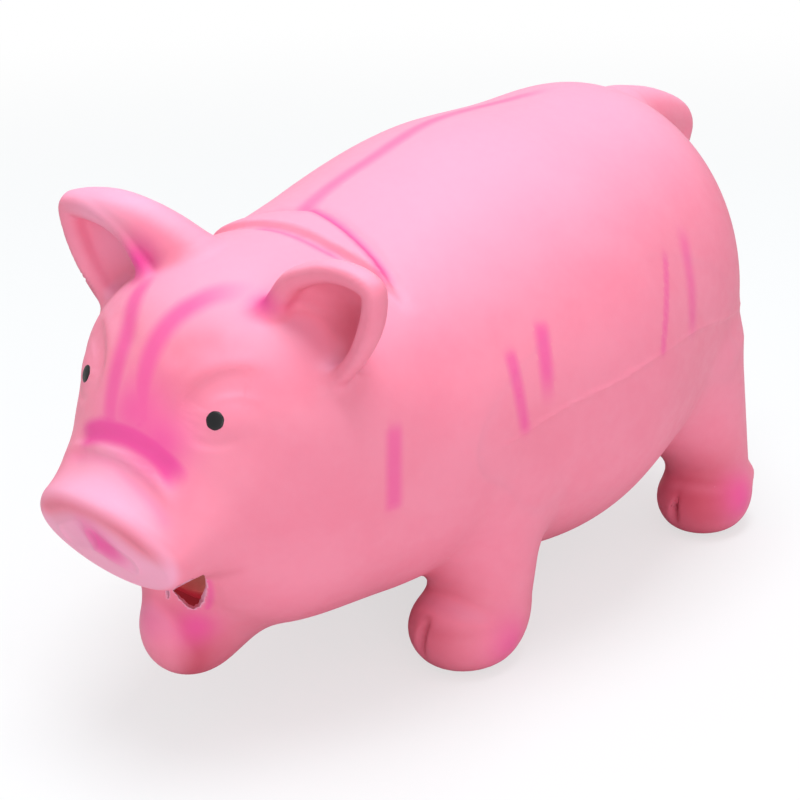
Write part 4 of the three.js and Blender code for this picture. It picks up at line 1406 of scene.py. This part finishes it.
def eyePaint():
    material, tree, shader = newMaterial("black eye paint")
    grain = grainNode(tree, 0.0, eyeFinish["patchy"])
    share = rampNode(tree, grain.outputs["Tone"], -0.1, 0.1)
    low, high = grainForm["rough"]
    fillSockets(tree, shader, {
        "Base Color": mixColours(tree, share, latexColours["eye"], latexColours["eyeWorn"]),
        "Roughness": rampNode(tree, grain.outputs["Rough"], low, high, eyeFinish["rough"]),
        "Normal": reliefOf(tree, grain.outputs["Relief"], *eyeFinish["relief"]),
    })
    return material


plasticGrain = {
    "cloud": {"Scale": 260.0, "Detail": 4.0},
    "streak": {"Scale": 90.0, "Distortion": 6.0, "Detail": 3.0},
    "darker": 0.82,
    "relief": (0.00008, 0.5),
}
plasticFinish = {       # name, colour, roughness, film
    "tube": ("grunter tube plastic", colour(226, 222, 210), 0.42, 0.0),
    "seat": ("reed seat plastic", colour(205, 200, 186), 0.5, 0.0),
    "reed": ("reed film", colour(232, 226, 196), 0.3, 0.4),
}


def plainPlastic(name, tone, rough, film):
    material, tree, shader = newMaterial(name)
    place = addNode(tree, "ShaderNodeTexCoord").outputs["Object"]
    cloud = addNode(tree, "ShaderNodeTexNoise", {"Vector": place, **plasticGrain["cloud"]}).outputs["Fac"]
    streak = addNode(tree, "ShaderNodeTexWave", {"Vector": place, **plasticGrain["streak"]}).outputs["Fac"]
    dark = tuple(c * plasticGrain["darker"] for c in tone[:3]) + (1.0,)
    fillSockets(tree, shader, {
        "Base Color": mixColours(tree, rampNode(tree, cloud, 0.35, 0.65), tone, dark),
        "Roughness": rampNode(tree, streak, 0.0, 1.0, (rough - 0.06, rough + 0.08)),
        "Normal": reliefOf(tree, cloud, *plasticGrain["relief"]),
        "Coat Weight": film,
    })
    return material


painted = skinLatex()
throat = mouthLatex()
black = eyePaint()
plastics = {name: plainPlastic(*facts) for name, facts in plasticFinish.items()}


def dress(piece, material):
    piece.data.materials.clear()
    piece.data.materials.append(material)


for piece in allSkins:
    dress(piece, painted)
for piece in eyes.values():
    dress(piece, black)
nodeFinish = {
    "mouth_lining": throat,
    "throat_web": throat,
    "grunter_barrel": plastics["tube"],
    "inlet_cap": plastics["tube"],
    "reed_seat": plastics["seat"],
    "reed_wedge": plastics["seat"],
    "reed_tongue": plastics["reed"],
}
for name, material in nodeFinish.items():
    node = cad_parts[name]
    if not node.material_slots:
        node.data.materials.append(material)
    for place in node.material_slots:
        place.material = material
print("materials made")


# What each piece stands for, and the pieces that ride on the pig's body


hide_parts("back_skin", "belly_skin", "neck_roll", "head_skin", "throat_skin", "snout", "lower_jaw",
            "left_front_leg", "right_front_leg", "left_hind_leg", "right_hind_leg")
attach(skin, "pig")
for side, hand in hands:
    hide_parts(side + "_ear")
    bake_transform(ears[side])
    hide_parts(side + "_flank_pad")
    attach(flanks[side], "pig")
    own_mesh(flanks[side])
    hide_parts(side + "_eye_dot")
    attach(eyes[side], "pig")
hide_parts("tail")
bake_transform(tail)
print("pieces joined to the bodies")


# Floor and light

roomForm = {
    "floorSize": 12.0,      # metres
    "floorTone": (0.82, 0.87, 0.9),
    "floorBounce": 0.72,    # the floor's tone for light that it sends back to the toy
    "floorLift": 0.65,      # white added for the camera, to keep the shadows light
    "floorNear": 0.3,       # the plain white begins past here
    "floorFar": 0.8,
    "worldLevel": 0.5,
    "worldTone": (1, 0.985, 0.98),
    "lampAim": (0, 0, 0.05),
    "lamps": {              # place in metres, size, power
        "key": ((0.02, -0.05, 1.15), 0.6, 9.2),
        "fill": ((1.1, -0.8, 0.3), 0.7, 5.6),
    },
}


def buildFloor():
    bm = bmesh.new()
    bmesh.ops.create_grid(bm, x_segments=8, y_segments=8, size=roomForm["floorSize"] / 2)
    floor = newPiece("floor", bm)
    material = bpy.data.materials.new("white floor")
    tree, out = clearTree(material, "ShaderNodeOutputMaterial")
    bounce = roomForm["floorBounce"]
    rays = addNode(tree, "ShaderNodeLightPath").outputs["Is Camera Ray"]
    tone = mixColours(tree, rays, (bounce, bounce, bounce, 1), roomForm["floorTone"] + (1,))
    plain = addNode(tree, "ShaderNodeBsdfDiffuse", {"Color": tone}).outputs[0]
    white = addNode(tree, "ShaderNodeEmission", {"Color": (1, 1, 1, 1), "Strength": 1.0}).outputs[0]
    place = addNode(tree, "ShaderNodeTexCoord").outputs["Object"]
    far = addNode(tree, "ShaderNodeVectorMath", {0: place}, operation="LENGTH").outputs["Value"]
    shares = (roomForm["floorLift"], rampNode(tree, far, roomForm["floorNear"], roomForm["floorFar"]))
    for share in shares:
        values = {"Fac": times(tree, share, rays), 1: plain, 2: white}
        plain = addNode(tree, "ShaderNodeMixShader", values).outputs[0]
    fillSockets(tree, out, {"Surface": plain})
    floor.data.materials.append(material)


def buildWorld():
    world = bpy.data.worlds.new("room")
    tree, out = clearTree(world, "ShaderNodeOutputWorld")
    scene.world = world
    soft = {"Color": roomForm["worldTone"] + (1,), "Strength": roomForm["worldLevel"]}
    white = {"Color": (1, 1, 1, 1), "Strength": 1.0}
    soft, white = (addNode(tree, "ShaderNodeBackground", values).outputs[0] for values in (soft, white))
    rays = addNode(tree, "ShaderNodeLightPath").outputs["Is Camera Ray"]
    mixed = addNode(tree, "ShaderNodeMixShader", {"Fac": rays, 1: soft, 2: white}).outputs[0]
    fillSockets(tree, out, {"Surface": mixed})


def buildLamp(name, place, size, power):
    data = bpy.data.lights.new(name, "AREA")
    data.shape = "SQUARE"
    data.size = size
    data.energy = power
    lamp = bpy.data.objects.new(name, data)
    lamp.location = place
    aim = Vector(roomForm["lampAim"]) - Vector(place)
    lamp.rotation_euler = aim.to_track_quat("-Z", "Y").to_euler()
    scene.collection.objects.link(lamp)


buildFloor()
buildWorld()
for name, facts in roomForm["lamps"].items():
    buildLamp(name, *facts)
scene.view_settings.view_transform = "Standard"
print("room lit")
